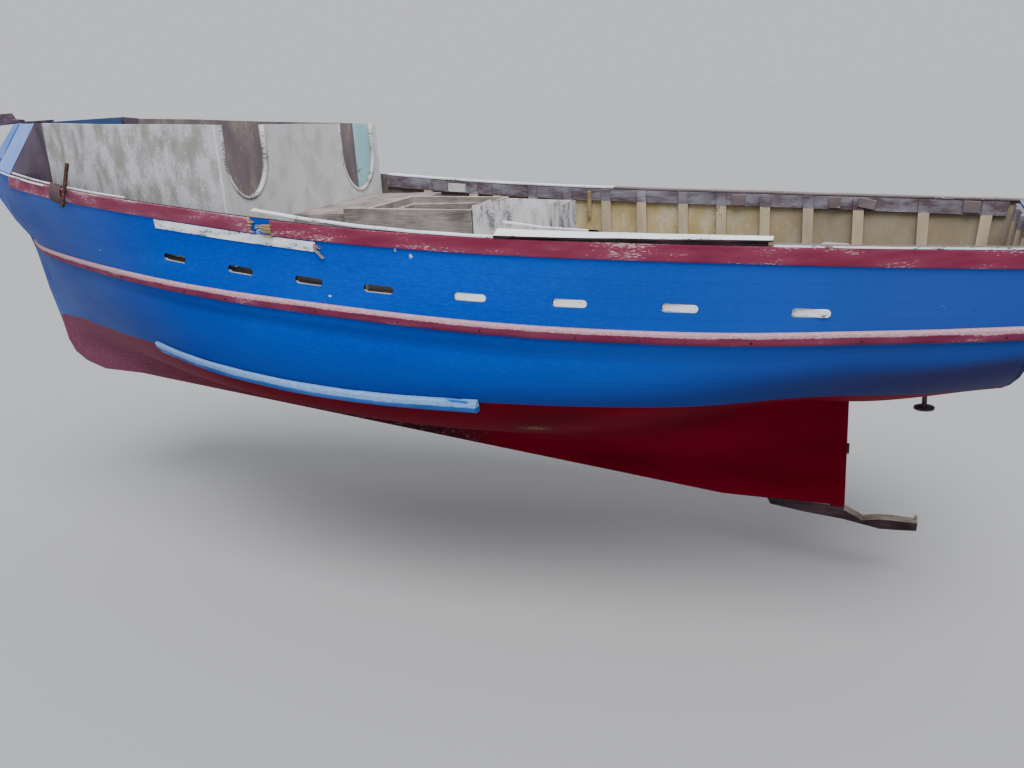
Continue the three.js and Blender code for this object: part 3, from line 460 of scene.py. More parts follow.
FINISHES = {
    # name: paint, faded paint, wood under it, how much is gone, size of chips, size of patches, stretch
    "white paint on pine board": ("F4F7FC", "DDE2EA", "85807A", 0.24, 18, 200, ALONG_X),
    "scraped white paint on the name boards": ("F4F7FC", "C6CEDC", "8E909A", 0.29, 16, 90, ALONG_X),
    "dirty worn paint on the cap tops": ("86787A", "685A5E", "C0B6B4", 0.24, 24, 300, ALONG_X),
    "grey paint on plywood": ("96938C", "BABAC2", "E2E2EA", 0.38, 22, 240, SHEET),
    "pale grey paint on the bulkhead": ("C4C2C0", "DEE0E6", "F0F0F2", 0.36, 26, 240, SHEET),
    "mottled grey paint on the casing": ("ECEAEE", "CCC8CC", "8E8A90", 0.31, 11, 120, STREAKED),
    "brown varnish on ply": ("6A5F66", "85797A", "A2978C", 0.3, 26, 260, ALONG_Z),
    # Painted shade: the break panels face away from the light, so their brown varnish is darkened.
    "brown varnish darkened by painted shade on the break": ("4C424E", "5E5462", "7A6F6C", 0.12, 30, 300, ALONG_Z),
    "teal paint on boards": ("8FC0CE", "A9D2DC", "7E766C", 0.22, 22, 300, ALONG_Z),
    "ochre paint on lining": ("B8A474", "D2C092", "E8DCC0", 0.33, 30, 240, SHEET),
    "buff paint on stanchions": ("B2A18A", "C6B699", "8E7F70", 0.2, 20, 240, ALONG_Z),
    "light blue paint on the bow boards": ("7193DC", "86A4DE", "8E98A6", 0.12, 24, 350, ALONG_Z),
}
PAINTS = {name: painted_timber(name, *row)[0] for name, row in FINISHES.items()}
print("painted timber:", len(PAINTS), "finishes")

# %% [markdown]
# The hull's own paint is blue above the painted waterline and dark red below it. The line sags amidships
# and rises at the bow, so a Float Curve turns the distance along the boat into the line's height.

# %% Painted waterline
CURVE_FROM = -8.0
CURVE_TO = 8.0
BOOT_TOP = [
    # x, z of the line in metres
    (-8.0, -0.13), (-7.0, -0.1), (-6.2, -0.06), (-5.6, -0.055), (-4.6, -0.12), (-3.3, -0.127),
    (-1.9, -0.12), (0.0, -0.16), (1.8, -0.12), (3.0, 0.02), (3.6, 0.19), (4.8, 0.17), (5.6, 0.205),
    (6.2, 0.227), (8.0, 0.15),
]
CURVE_LOW = -1.0
CURVE_HIGH = 1.0


def height_of_line(tree, x_socket, points, low, high):
    """Height that a drawn line has at this x."""
    along = add(
        tree, "ShaderNodeMapRange", {"Value": x_socket, "From Min": CURVE_FROM, "From Max": CURVE_TO}
    )
    curve = add(tree, "ShaderNodeFloatCurve", {"Value": along.outputs[0]})
    drawn = curve.mapping.curves[0]
    places = [((x - CURVE_FROM) / (CURVE_TO - CURVE_FROM), (z - low) / (high - low)) for x, z in points]
    drawn.points[0].location = places[0]
    drawn.points[1].location = places[-1]
    for place in places[1:-1]:
        drawn.points.new(*place)
    curve.mapping.update()
    return add(
        tree, "ShaderNodeMapRange", {"Value": curve.outputs[0], "To Min": low, "To Max": high}
    ).outputs[0]


print("painted waterline:", len(BOOT_TOP), "points")

# %% [markdown]
# Blue gloss paint goes paler and greyer towards the bow. Painted shade darkens it where the side turns
# under, more so towards the stern, and on faces that look down, purple at the counter. A band of painted
# shadow lies below the rubbing strake. The bottom paint is an iron-red antifouling, worn brick-coloured at
# the bow and sooty along the keel. Knocks have left a gouge down to the wood in the red and a few pale
# flecks in the blue. Plank seams are nearly hidden by paint, so they are mostly a groove and hardly a colour.

# %% Hull paint
STEM_HEAD_Z = 2.86
WORN_KEEL_MIDDLE = 0.7
WORN_KEEL_REACH = 1.9
WORN_KEEL_FADE = 0.9
STRAKE_SHADOW_MIDDLE = -0.65
GOUGE = (-2.305, 1.686, -0.62)
GOUGE_STRETCH = (3.4, 0.8, 8.5)
GOUGE_RAGGED = 5.0
GOUGE_EDGE = (3.3, 3.2)
FLECK_RAGGED = 4
FLECK_EDGE = (2.9, 2.7)
SEAM_HALF = 0.035
SEAM_DIRT = 0.12
FLECKS = [
    # x, y, z and radius of a knocked-off fleck of blue, in metres
    (-0.95, 2.347, 1.736, 0.02), (-1.14, 2.347, 1.667, 0.024), (0.02, 2.325, 1.167, 0.022),
    (4.085, 1.737, 1.62, 0.018), (0.95, 2.33, 1.97, 0.06),
]


def blue_coat(tree, sockets, x, plank):
    """The topside blue, with its brush strokes, painted shade and greyer bow."""
    chips, patches = sockets["chips"], sockets["patches"]
    brushed = blend_along(tree, chips, 0.38, 0.62, 0.22, sockets["surface"], colour("0A3690"))
    brushed = blend_along(tree, chips, 0.5, 0.34, 0.1, brushed, colour("2E7AD6"))
    # Painted shade: darker low on the side, where it turns under, and darker still aft.
    low_aft_shade = blend_along(tree, x, 1.5, -3.0, 1.0, colour("0A40A2"), colour("102A6C"))
    low_side_shade = blend_along(tree, plank, -0.5, -4.4, 0.85, brushed, low_aft_shade)
    # Painted shadow: a dark band just under the rubbing strake.
    from_strake = add(tree, "ShaderNodeMath", {0: plank, 1: STRAKE_SHADOW_MIDDLE}, operation="SUBTRACT")
    strake_shadow_distance = add(tree, "ShaderNodeMath", {0: from_strake.outputs[0]}, operation="ABSOLUTE").outputs[0]
    low_side_shade = blend_along(tree, strake_shadow_distance, 0.55, 0.1, 0.5, low_side_shade, colour("06286C"))
    # Painted shade: darker low down towards the stern.
    aft_shade_tone = blend_along(tree, plank, 0.0, -4.0, 1.0, colour("2E54A8"), colour("1A3478"))
    aft = blend_along(tree, x, -1.8, -6.4, 0.8, low_side_shade, aft_shade_tone)
    # Painted shade on faces that look down, purple at the counter.
    counter = blend_along(tree, x, -4.4, -6.8, 1.0, colour("263C82"), colour("343258"))
    normal = add(tree, "ShaderNodeNewGeometry").outputs["Normal"]
    down = add(tree, "ShaderNodeSeparateXYZ", {"Vector": normal}).outputs["Z"]
    shaded = blend_along(tree, down, -0.1, -0.5, 0.9, aft, counter)
    # Paler and greyer towards the bow.
    bow_grey = blend_along(tree, patches, 0.35, 0.65, 1.0, colour("46589A"), colour("586CA2"))
    blue = blend_along(tree, x, 2.6, 6.8, 0.95, shaded, bow_grey)
    for *centre, radius in FLECKS:
        to_fleck = add(tree, "ShaderNodeVectorMath", {0: sockets["place"], 1: centre}, operation="DISTANCE")
        torn = add(
            tree, "ShaderNodeMath", {0: chips, 1: radius * FLECK_RAGGED, 2: to_fleck.outputs["Value"]},
            operation="MULTIPLY_ADD",
        )
        start, end = (radius * reach for reach in FLECK_EDGE)
        blue = blend_along(tree, torn.outputs[0], start, end, 1.0, blue, colour("A9C4E4"))
    return blue


def red_coat(tree, sockets, x, plank):
    """The bottom red, with its brick bow, sooty keel and gouge."""
    chips, patches = sockets["chips"], sockets["patches"]
    red_patch = blend_along(tree, patches, 0.35, 0.65, 1.0, colour("5A0214"), colour("72041E"))
    brick = blend_along(tree, chips, 0.4, 0.6, 1.0, colour("6E4052"), colour("7E4A5C"))
    red = blend_along(tree, x, 1.5, 5.4, 1.0, red_patch, brick)
    keel_soot = blend_along(tree, chips, 0.54, 0.66, 1.0, colour("2C1822"), colour("7A5E5A"))
    from_middle = add(tree, "ShaderNodeMath", {0: x, 1: WORN_KEEL_MIDDLE}, operation="SUBTRACT")
    away = add(tree, "ShaderNodeMath", {0: from_middle.outputs[0]}, operation="ABSOLUTE").outputs[0]
    worn_along = add(
        tree, "ShaderNodeMapRange",
        {"Value": away, "From Min": WORN_KEEL_REACH, "From Max": WORN_KEEL_REACH - WORN_KEEL_FADE},
    )
    near_keel = add(tree, "ShaderNodeMapRange", {"Value": plank, "From Min": -13.6, "From Max": -14.3})
    keel_share = add(
        tree, "ShaderNodeMath", {0: worn_along.outputs[0], 1: near_keel.outputs[0]}, operation="MULTIPLY"
    ).outputs[0]
    red = blend_along(tree, keel_share, 0.0, 1.0, 0.85, red, keel_soot)
    scaled = add(
        tree, "ShaderNodeVectorMath", {0: sockets["place"], 1: GOUGE_STRETCH}, operation="MULTIPLY"
    )
    to_gouge = add(
        tree, "ShaderNodeVectorMath",
        {0: scaled.outputs["Vector"], 1: tuple(c * k for c, k in zip(GOUGE, GOUGE_STRETCH))},
        operation="DISTANCE",
    )
    ragged = add(
        tree, "ShaderNodeMath", {0: chips, 1: GOUGE_RAGGED, 2: to_gouge.outputs["Value"]},
        operation="MULTIPLY_ADD",
    )
    gouge_wood = blend_along(tree, chips, 0.44, 0.54, 1.0, colour("200E10"), colour("966450"))
    return blend_along(tree, ragged.outputs[0], *GOUGE_EDGE, 1.0, red, gouge_wood)


def hull_paint():
    """Blue topsides, red bottom, seams between the planks."""
    material, sockets = painted_timber(
        "blue and red hull paint", "0048BA", "0052C8", "AFC0DA", 0.045, chip_mm=24, patch_mm=700,
        gloss=0.03,
    )
    tree, shader = sockets["tree"], sockets["shader"]
    axes = add(tree, "ShaderNodeSeparateXYZ", {"Vector": sockets["place"]})
    x, z = axes.outputs["X"], axes.outputs["Z"]
    plank = add(tree, "ShaderNodeAttribute", attribute_name="plank").outputs["Fac"]
    blue = blue_coat(tree, sockets, x, plank)
    red = red_coat(tree, sockets, x, plank)
    boot = height_of_line(tree, x, BOOT_TOP, CURVE_LOW, CURVE_HIGH)
    below = add(tree, "ShaderNodeMath", {0: boot, 1: z}, operation="SUBTRACT")
    coats = blend_along(tree, below.outputs[0], -0.004, 0.004, 1.0, blue, red)
    stem_head = blend_along(
        tree, sockets["patches"], 0.35, 0.65, 1.0, colour("7193DC"), colour("86A4DE")
    )
    coats = blend_along(tree, z, STEM_HEAD_Z - 0.02, STEM_HEAD_Z, 1.0, coats, stem_head)
    from_seam = add(tree, "ShaderNodeMath", {0: plank, 1: 0.5}, operation="PINGPONG").outputs[0]
    seam = add(
        tree, "ShaderNodeMapRange", {"Value": from_seam, "From Min": SEAM_HALF, "From Max": 0.0}
    ).outputs[0]
    lined = blend_along(tree, from_seam, SEAM_HALF, 0.0, SEAM_DIRT, coats, colour("0A1430"))
    groove = add(
        tree, "ShaderNodeBump",
        {"Height": seam, "Strength": 0.35, "Distance": 0.002, "Normal": sockets["bump"].outputs[0]},
        invert=True,
    )
    tree.links.new(lined, shader.inputs["Base Color"])
    tree.links.new(groove.outputs["Normal"], shader.inputs["Normal"])
    return material


HULL_PAINT = hull_paint()
print("hull paint:", len(HULL_PAINT.node_tree.nodes), "nodes")

# %% [markdown]
# Bare timber is grey on top where the sun reaches it and brown in the cracks. Its grain is a noise that
# is stretched along the plank. Deck planks and the hold's lining also have dark seams, a plank's width
# apart.

# %% Bare timber
def bare_timber(name, light, dark, stretch=(0.06, 1, 1), grain_mm=14, seam_mm=0, seam_axis="Y"):
    """Weathered wood, with caulked seams if seam_mm is given."""
    material = bpy.data.materials.new(name)
    material.use_nodes = True
    tree = material.node_tree
    shader = tree.nodes["Principled BSDF"]
    place = add(tree, "ShaderNodeTexCoord").outputs["Object"]
    drawn = add(tree, "ShaderNodeMapping", {"Vector": place, "Scale": stretch})
    grain = add(
        tree, "ShaderNodeTexNoise",
        {"Vector": drawn.outputs["Vector"], "Scale": per_mm(grain_mm), "Detail": 6.0, "Roughness": 0.7},
    )
    stain = add(tree, "ShaderNodeTexNoise", {"Vector": place, "Scale": per_mm(380), "Detail": 3.0})
    mixed = add(tree, "ShaderNodeMath", {0: grain.outputs["Fac"], 1: stain.outputs["Fac"]}, operation="ADD")
    base = blend_along(tree, mixed.outputs[0], 0.78, 1.25, 1.0, colour(dark), colour(light))
    height = grain.outputs["Fac"]
    if seam_mm:
        axes = add(tree, "ShaderNodeSeparateXYZ", {"Vector": place})
        from_seam = add(
            tree, "ShaderNodeMath", {0: axes.outputs[seam_axis], 1: seam_mm / 2000}, operation="PINGPONG"
        )
        seam = add(
            tree, "ShaderNodeMapRange",
            {"Value": from_seam.outputs[0], "From Min": 0.005, "From Max": 0.002},
        )
        base = add(
            tree, "ShaderNodeMix", {SHARE: seam.outputs[0], UNDER: base, OVER: colour("1C1815")},
            data_type="RGBA",
        ).outputs[MIXED]
        sunk = add(tree, "ShaderNodeMath", {0: height, 1: seam.outputs[0]}, operation="SUBTRACT")
        height = sunk.outputs[0]
    bump = add(tree, "ShaderNodeBump", {"Height": height, "Strength": 0.6, "Distance": 0.003})
    tree.links.new(base, shader.inputs["Base Color"])
    tree.links.new(bump.outputs["Normal"], shader.inputs["Normal"])
    shader.inputs["Roughness"].default_value = 0.85
    shader.inputs["Specular IOR Level"].default_value = 0.15
    return material


DECK_TIMBER = bare_timber("weathered deck pine", "5A5552", "2C2928", seam_mm=120)
HATCH_TIMBER = bare_timber("weathered hatch oak", "B2A8A4", "6C6361")
PALE_TIMBER = bare_timber("bleached oak ledge", "C8C2B6", "8E8678")
# Near black: the heel's split wood, and painted shade on the middle cap's sides and the packing under the
# loose cap.
SPLIT_TIMBER_AND_SHADE = bare_timber("dark split oak and painted shade", "4E3B42", "1E1519", grain_mm=22)
TORN_TIMBER = bare_timber("fresh torn pine", "CDBB94", "86704F", grain_mm=10)
BROKEN_TIMBER = bare_timber("grey broken pine", "A79C92", "5C5048", grain_mm=12)
# Near black: the hold's lining, and painted shade on the topsides' upper edges and port sides.
HOLD_TIMBER_AND_SHADE = bare_timber("dark hold lining and painted shade", "2A2A34", "131318", seam_mm=180, seam_axis="Z")
# Painted shade: a darker wood colour on the casing's top faces.
CASING_TOP_SHADE = bare_timber("painted shade on the casing tops", "A9A096", "3C332C", grain_mm=10)
print("bare timber: 8 kinds")

# %% [markdown]
# Mouldings are worn by rope and by other hulls. The rubbing strake has lost its crimson on the upper
# half, the bilge rail is pale on top and darkened below by painted shade, and the gunwale is scratched
# lengthwise to white. Each strake stores on its points how high they stand between its lower and its upper
# edge, and the paint reads that height with a little noise, so the worn edge wanders. The same two coats, one
# over the other, make the lining of the bulwark, dark forward and ochre aft, and its frames, buff below a
# purple stringer.

# %% Strake paint
SCRATCHED = (0.18, 1.0, 1.0)
MOULDING_RAGGED = (0.3, 0.28)


def second_coat(finish, value, start, end, dark, light, mottle="patches"):
    """Paints a mottled coat over a finish, from one value of a socket to another."""
    material, sockets = finish
    tree = sockets["tree"]
    mottled = blend_along(tree, sockets[mottle], 0.4, 0.62, 1.0, colour(dark), colour(light))
    surface = blend_along(tree, value, start, end, 1.0, sockets["surface"], mottled)
    tree.links.new(surface, sockets["shader"].inputs["Base Color"])
    return material


def ragged_height(sockets, patch_reach, chip_reach):
    """The height attribute, made uneven by the patches and the chips."""
    tree = sockets["tree"]
    level = add(tree, "ShaderNodeAttribute", attribute_name="height").outputs["Fac"]
    for source, reach in (("patches", patch_reach), ("chips", chip_reach)):
        off = add(tree, "ShaderNodeMath", {0: sockets[source], 1: 0.5}, operation="SUBTRACT")
        level = add(
            tree, "ShaderNodeMath", {0: off.outputs[0], 1: reach, 2: level}, operation="MULTIPLY_ADD"
        ).outputs[0]
    return level


def worn_moulding(name, paint, faded, bare, wear, dark, light, worn_from, worn_to):
    """Paint that is worn away above a height on the moulding."""
    finish = painted_timber(name, paint, faded, bare, wear, chip_mm=11, patch_mm=150, stretch=SCRATCHED)
    level = ragged_height(finish[1], *MOULDING_RAGGED)
    return second_coat(finish, level, worn_from, worn_to, dark, light, "chips")


RUB_PAINT = worn_moulding(
    "crimson paint on the rubbing strake", "6C2240", "803652", "B98E98", 0.2, "AC848E", "CEAAB4", 0.6, 0.7
)
GUNWALE_PAINT = worn_moulding(
    "crimson paint on the gunwale strake", "7A2642", "8E3E58", "DAC0C0", 0.25, "8E5A6C", "D0B4BC", 0.98, 1.1
)
PINK_PAINT = worn_moulding(
    "scuffed crimson paint on the fore gunwale", "80344C", "945068", "D8B8C4", 0.27, "A0687E", "D8BCC8",
    0.94, 1.06,
)
# Painted shade: the lower coat is darkened under the pale top.
RAIL_PAINT_AND_SHADE = worn_moulding(
    "pale blue paint and painted shade on the bilge rail", "1C509C", "2C62B0", "9DB8DC", 0.08, "6690C8", "8CAED8", 0.36, 0.5
)
LINING_TURNS_DARK = (-1.3, -1.1)
LINING_DULLS_AFT = (-3.4, -5.4)
lining = painted_timber("ochre and dark paint on lining", *FINISHES["ochre paint on lining"])
sockets = lining[1]
along = add(sockets["tree"], "ShaderNodeSeparateXYZ", {"Vector": sockets["place"]}).outputs["X"]
sockets["surface"] = blend_along(
    sockets["tree"], along, *LINING_DULLS_AFT, 0.7, sockets["surface"], colour("7C726A")
)
LINING = second_coat(lining, along, *LINING_TURNS_DARK, "665C5A", "80746E")

frames = painted_timber("buff stanchions and purple stringer", *FINISHES["buff paint on stanchions"])
sockets = frames[1]
stretches = add(sockets["tree"], "ShaderNodeMapping", {"Vector": sockets["place"], "Scale": ALONG_X})
sockets["stretches"] = add(
    sockets["tree"], "ShaderNodeTexNoise",
    {"Vector": stretches.outputs["Vector"], "Scale": per_mm(170), "Detail": 8.0, "Roughness": 0.7},
).outputs["Fac"]
FRAME_PAINT = second_coat(
    frames, ragged_height(sockets, 0.05, 0.02), -0.004, 0.004, "5A4A50", "8C8A96", "stretches"
)
print("strake paint: 6 finishes")

# %% [markdown]
# The iron has stood bare for years, so it is all rust: dark scale, purple where red paint has stained it,
# with a paler bloom in patches. Rust is an oxide and not a metal, so the shader stays dielectric and rough.

# %% Rusted iron
def rusted_iron(name, scale_colour, bloom_colour):
    """Scaled iron with patches of newer rust."""
    material = bpy.data.materials.new(name)
    material.use_nodes = True
    tree = material.node_tree
    shader = tree.nodes["Principled BSDF"]
    place = add(tree, "ShaderNodeTexCoord").outputs["Object"]
    bloom = add(tree, "ShaderNodeTexNoise", {"Vector": place, "Scale": per_mm(45), "Detail": 6.0})
    pits = add(tree, "ShaderNodeTexNoise", {"Vector": place, "Scale": per_mm(6), "Detail": 4.0})
    rust = blend_along(
        tree, bloom.outputs["Fac"], 0.42, 0.62, 1.0, colour(scale_colour), colour(bloom_colour)
    )
    bump = add(tree, "ShaderNodeBump", {"Height": pits.outputs["Fac"], "Strength": 0.7, "Distance": 0.0015})
    tree.links.new(rust, shader.inputs["Base Color"])
    tree.links.new(bump.outputs["Normal"], shader.inputs["Normal"])
    shader.inputs["Roughness"].default_value = 0.88
    return material


PURPLE_RUST = rusted_iron("rust under old red paint", "40303E", "5D4A5E")
BROWN_RUST = rusted_iron("brown scaled rust", "3A2A28", "6E4A3A")
BLACK_RUST = rusted_iron("nearly black rust on bolt heads", "160E10", "34201C")
print("iron: 3 kinds of rust")

# %% [markdown]
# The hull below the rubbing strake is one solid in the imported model. Here it becomes a planked skin:
# rounded, numbered for its seams, with the hold lined in dark boards and raw wood where the deck hides
# it.

# %% Hull
HOLD_FROM = -1.13
HOLD_TO = 0.28
HOLD_HALF = 0.6
HOLD_FLOOR = 0.09
LOOKS_UP = 0.7
hull_skin = curved_skin("hull")
number_points(hull_skin, "plank", planks_from_strake)
for face in hull_skin.faces:
    middle = face.calc_center_median()
    if abs(middle.y) < HOLD_HALF and HOLD_FROM < middle.x < HOLD_TO and middle.z > HOLD_FLOOR:
        face.material_index = 1
    elif face.normal.z > LOOKS_UP:
        face.material_index = 2
crease_sharp_edges(hull_skin)
hull = place_piece(
    hull_skin, "hull_planking", [HULL_PAINT, HOLD_TIMBER_AND_SHADE, DECK_TIMBER], ["hull"]
)
subdivide(hull, 2)
print("hull:", len(hull.data.polygons), "faces before rounding")

# %% [markdown]
# The keel, the sternpost and the stem take the same paint and the same numbers. The hull's skin is rounded
# a little over the keel's bend, which would leave a gap of a few millimetres, so the keel's top is let into
# the hull and made a little narrower there.

# %% Keel, sternpost and stem
KEEL_TUCK = 0.03
KEEL_TUCK_SHARE = 0.94
KEEL_TOP_LOOKS_UP = 0.9
BACKBONE_EDGE = 0.012
BACKBONE = {"keel": "bottom_paint", "stern_post": "bottom_paint", "stem": "blue_paint"}
for node, slot in BACKBONE.items():
    skin = curved_skin(node) if node == "stem" else sawn_skin(node)
    number_points(skin, "plank", planks_from_strake)
    if node == "keel":
        for vert in {v for face in skin.faces if face.normal.z > KEEL_TOP_LOOKS_UP for v in face.verts}:
            vert.co.z += KEEL_TUCK
            vert.co.y *= KEEL_TUCK_SHARE
    ease_edges(place_piece(skin, node + "_timber", [HULL_PAINT], [node]), BACKBONE_EDGE)
print("backbone:", len(BACKBONE), "timbers")

# %% [markdown]
# Each topside is blue outside and lined with boards inside. Its upper edge and the sides of its freeing
# ports are near black, as painted shade, and the sills of the ports, which look up, are washed pale. The
# side is told from the lining by the way a face looks: away from the centreline or towards it.

# %% Topsides
SIDES = {"port": 1, "starboard": -1}
LOOKS_ASIDE = 0.3
SILL_LOOKS_UP = 0.5
PORTS_UNDER_SHEER = 0.3
PORTS_END_X = 2.8
for side, outboard in SIDES.items():
    skin = merged("topside_" + side)
    number_points(skin, "plank", planks_from_strake)
    for face in skin.faces:
        middle = face.calc_center_median()
        across = face.normal.y * outboard
        in_port = middle.z < line("sheer_z", middle.x) - PORTS_UNDER_SHEER and middle.x < PORTS_END_X
        if across < -LOOKS_ASIDE:
            face.material_index = 1
        elif across < LOOKS_ASIDE and in_port and face.normal.z > SILL_LOOKS_UP:
            face.material_index = 3
        # Painted shade: the upper edge and the sides of the ports are near black.
        elif across < LOOKS_ASIDE and (in_port or face.normal.z > LOOKS_UP):
            face.material_index = 2
    materials = [HULL_PAINT, LINING, HOLD_TIMBER_AND_SHADE, PALE_TIMBER]
    place_piece(skin, "topside_planking_" + side, materials, ["topside_" + side])
print("topsides:", len(SIDES), "pieces")

# %% [markdown]
# Strakes and rails follow the side as long rounded mouldings. Only the outer edges are rounded, because
# the inner ones lie against the planks. A Subdivision Surface then smooths the run from end to end. The
# strakes across the transom are straight, so a bevel does for them.

# %% Strakes and rails
MOULDING_ARRIS = math.radians(50)
RUNS_ALONG = 0.5


def round_outer_edges(skin, width, segments):
    """Bevels the long edges that stand farthest out."""
    sharp = [e for e in skin.edges if len(e.link_faces) == 2 and e.calc_face_angle() > MOULDING_ARRIS]
    outer = []
    for edge in sharp:
        out = Vector((0, 1 if edge.verts[0].co.y > 0 else -1, 0))
        faces_out = max(face.normal.dot(out) for face in edge.link_faces)
        runs_along = abs((edge.verts[1].co - edge.verts[0].co).normalized().x) > RUNS_ALONG
        if faces_out > LOOKS_ASIDE and runs_along:
            outer.append(edge)
    bmesh.ops.bevel(
        skin, geom=outer, offset=width, segments=segments, profile=0.5, affect="EDGES", material=-1,
        clamp_overlap=True,
    )


GUNWALE_SPAN = (-0.19, 0.0)
RUB_SPAN = (-0.077, 0.073)
STRAKE_SEGMENTS = 4
STRAKES = [
    # node, slot, material, radius of the outer edges, hull line, its foot and top over that line
    ("gunwale_strake_port_fore", "crimson_paint", PINK_PAINT, 0.014, "sheer_z", GUNWALE_SPAN),
    ("gunwale_strake_port_aft", "crimson_paint", GUNWALE_PAINT, 0.014, "sheer_z", GUNWALE_SPAN),
    ("gunwale_strake_starboard", "crimson_paint", GUNWALE_PAINT, 0.014, "sheer_z", GUNWALE_SPAN),
    ("rub_strake_port", "strake_paint", RUB_PAINT, 0.034, "rub_z", RUB_SPAN),
    ("rub_strake_starboard", "strake_paint", RUB_PAINT, 0.034, "rub_z", RUB_SPAN),
]
STRAKE_SKINS = {}
for node, slot, material, radius, base, (foot, top) in STRAKES:
    skin = curved_skin(node)
    round_outer_edges(skin, radius, STRAKE_SEGMENTS)
    number_points(skin, "height", lambda place: (place.z - line(base, place.x) - foot) / (top - foot))
    STRAKE_SKINS[node] = bvhtree.BVHTree.FromBMesh(skin)
    crease_sharp_edges(skin)
    subdivide(place_piece(skin, node + "_moulding", [material], [node]), 1)

RAIL_ROUND = 0.035
RAIL_SEGMENTS = 3
RAIL_SLICE = 0.02
for side in SIDES:
    node = "bilge_rail_" + side
    skin = curved_skin(node)
    round_outer_edges(skin, RAIL_ROUND, RAIL_SEGMENTS)
    number_points(skin, "height", share_of_height(skin, RAIL_SLICE))
    crease_sharp_edges(skin)
    subdivide(place_piece(skin, node + "_moulding", [RAIL_PAINT_AND_SHADE], [node]), 1)

STERN_STRAKES = [
    # node, slot, material
    ("gunwale_strake_stern", "crimson_paint", GUNWALE_PAINT),
    ("rub_strake_stern", "strake_paint", RUB_PAINT),
]
STERN_STRAKE_EDGE = 0.012
for node, slot, material in STERN_STRAKES:
    skin = sawn_skin(node)
    number_points(skin, "height", share_of_height(skin, math.inf))
    ease_edges(place_piece(skin, node + "_moulding", [material], [node]), STERN_STRAKE_EDGE)
print("strakes and rails:", len(STRAKES) + len(SIDES) + len(STERN_STRAKES), "mouldings")

# %% [markdown]
# The rest of the timber is sawn stock, and the small ironwork is treated the same way. Each node keeps its
# shape, with a small bevel, and takes the finish that its table row names. Long boards also waver a little.
# A few have a second finish, on their tops or on all but their tops. The second finish on the casing's
# tops and on the middle cap's sides is painted shade.

# %% Sawn timber and boards
WHITE = PAINTS["white paint on pine board"]
SCRAPED_WHITE = PAINTS["scraped white paint on the name boards"]
CAP_TOP = PAINTS["dirty worn paint on the cap tops"]
GREY = PAINTS["grey paint on plywood"]
BULKHEAD_GREY = PAINTS["pale grey paint on the bulkhead"]
CASING_GREY = PAINTS["mottled grey paint on the casing"]
BROWN = PAINTS["brown varnish on ply"]
BREAK = PAINTS["brown varnish darkened by painted shade on the break"]
BOW_BLUE = PAINTS["light blue paint on the bow boards"]
SAWN = [
    # node, slot, material, bevel, waver in metres
    ("name_board_port", "white_paint", SCRAPED_WHITE, 0.004, 0.004),
    ("name_board_starboard", "white_paint", SCRAPED_WHITE, 0.004, 0.004),
    ("cap_board_port_fore", "white_paint", WHITE, 0.004, 0.004),
    ("cap_board_port_middle", "white_paint", WHITE, 0.004, 0.005),
    ("cap_board_port_aft", "white_paint", WHITE, 0.004, 0.006),
    ("cap_board_starboard_fore", "white_paint", WHITE, 0.004, 0.006),
    ("cap_board_starboard_aft", "white_paint", CAP_TOP, 0.004, 0.006),
    ("cap_board_stern", "white_paint", WHITE, 0.004, 0.004),
    ("freeing_port_shutter_1", "white_paint", WHITE, 0.004, 0),
    ("freeing_port_shutter_2", "white_paint", WHITE, 0.004, 0),
    ("freeing_port_shutter_3", "white_paint", WHITE, 0.004, 0),
    ("freeing_port_shutter_4", "white_paint", WHITE, 0.004, 0),
    ("freeing_port_shutter_5", "frame_timber", HOLD_TIMBER_AND_SHADE, 0.004, 0),
    ("freeing_port_shutter_6", "frame_timber", HOLD_TIMBER_AND_SHADE, 0.004, 0),
    ("freeing_port_shutter_7", "frame_timber", HOLD_TIMBER_AND_SHADE, 0.004, 0),
    ("hatch_step", "coaming_timber", HATCH_TIMBER, 0.01, 0.004),
    ("engine_casing", "grey_paint", CASING_GREY, 0.005, 0),
    ("forecastle_side_port", "grey_paint", GREY, 0.005, 0),
    ("forecastle_side_starboard", "grey_paint", GREY, 0.005, 0),
    ("forecastle_lining_aft", "teal_paint", PAINTS["teal paint on boards"], 0.003, 0),
    ("forecastle_lining_fore", "brown_timber", BROWN, 0.003, 0),
    # the break panels take the varnish darkened as painted shade
    ("forecastle_break_port", "brown_timber", BREAK, 0.005, 0),
    ("forecastle_break_starboard", "brown_timber", BREAK, 0.005, 0),
    ("heel_timber", "bare_timber", SPLIT_TIMBER_AND_SHADE, 0.015, 0.006),
    ("stern_tube", "rusted_iron", BROWN_RUST, 0.004, 0),
    ("rudder_stock_collar", "rusted_iron", BROWN_RUST, 0.006, 0),
    ("stem_head_fitting", "rusted_iron", PURPLE_RUST, 0.012, 0.006),
    ("gunwale_pin_port", "rusted_iron", BROWN_RUST, 0.008, 0.004),
]
BOARD_CUT = 0.35
WAVE = 0.5
TOP_LOOKS_UP = 0.6
TWO_TONE = {
    # node: second finish, and whether it is on the tops
    "cap_board_port_aft": (CAP_TOP, True),
    "cap_board_stern": (CAP_TOP, True),
    # the casing's tops are painted shade
    "engine_casing": (CASING_TOP_SHADE, True),
    "heel_timber": (BROKEN_TIMBER, True),
    # the middle cap's sides are near black as painted shade
    "cap_board_port_middle": (SPLIT_TIMBER_AND_SHADE, False),
}
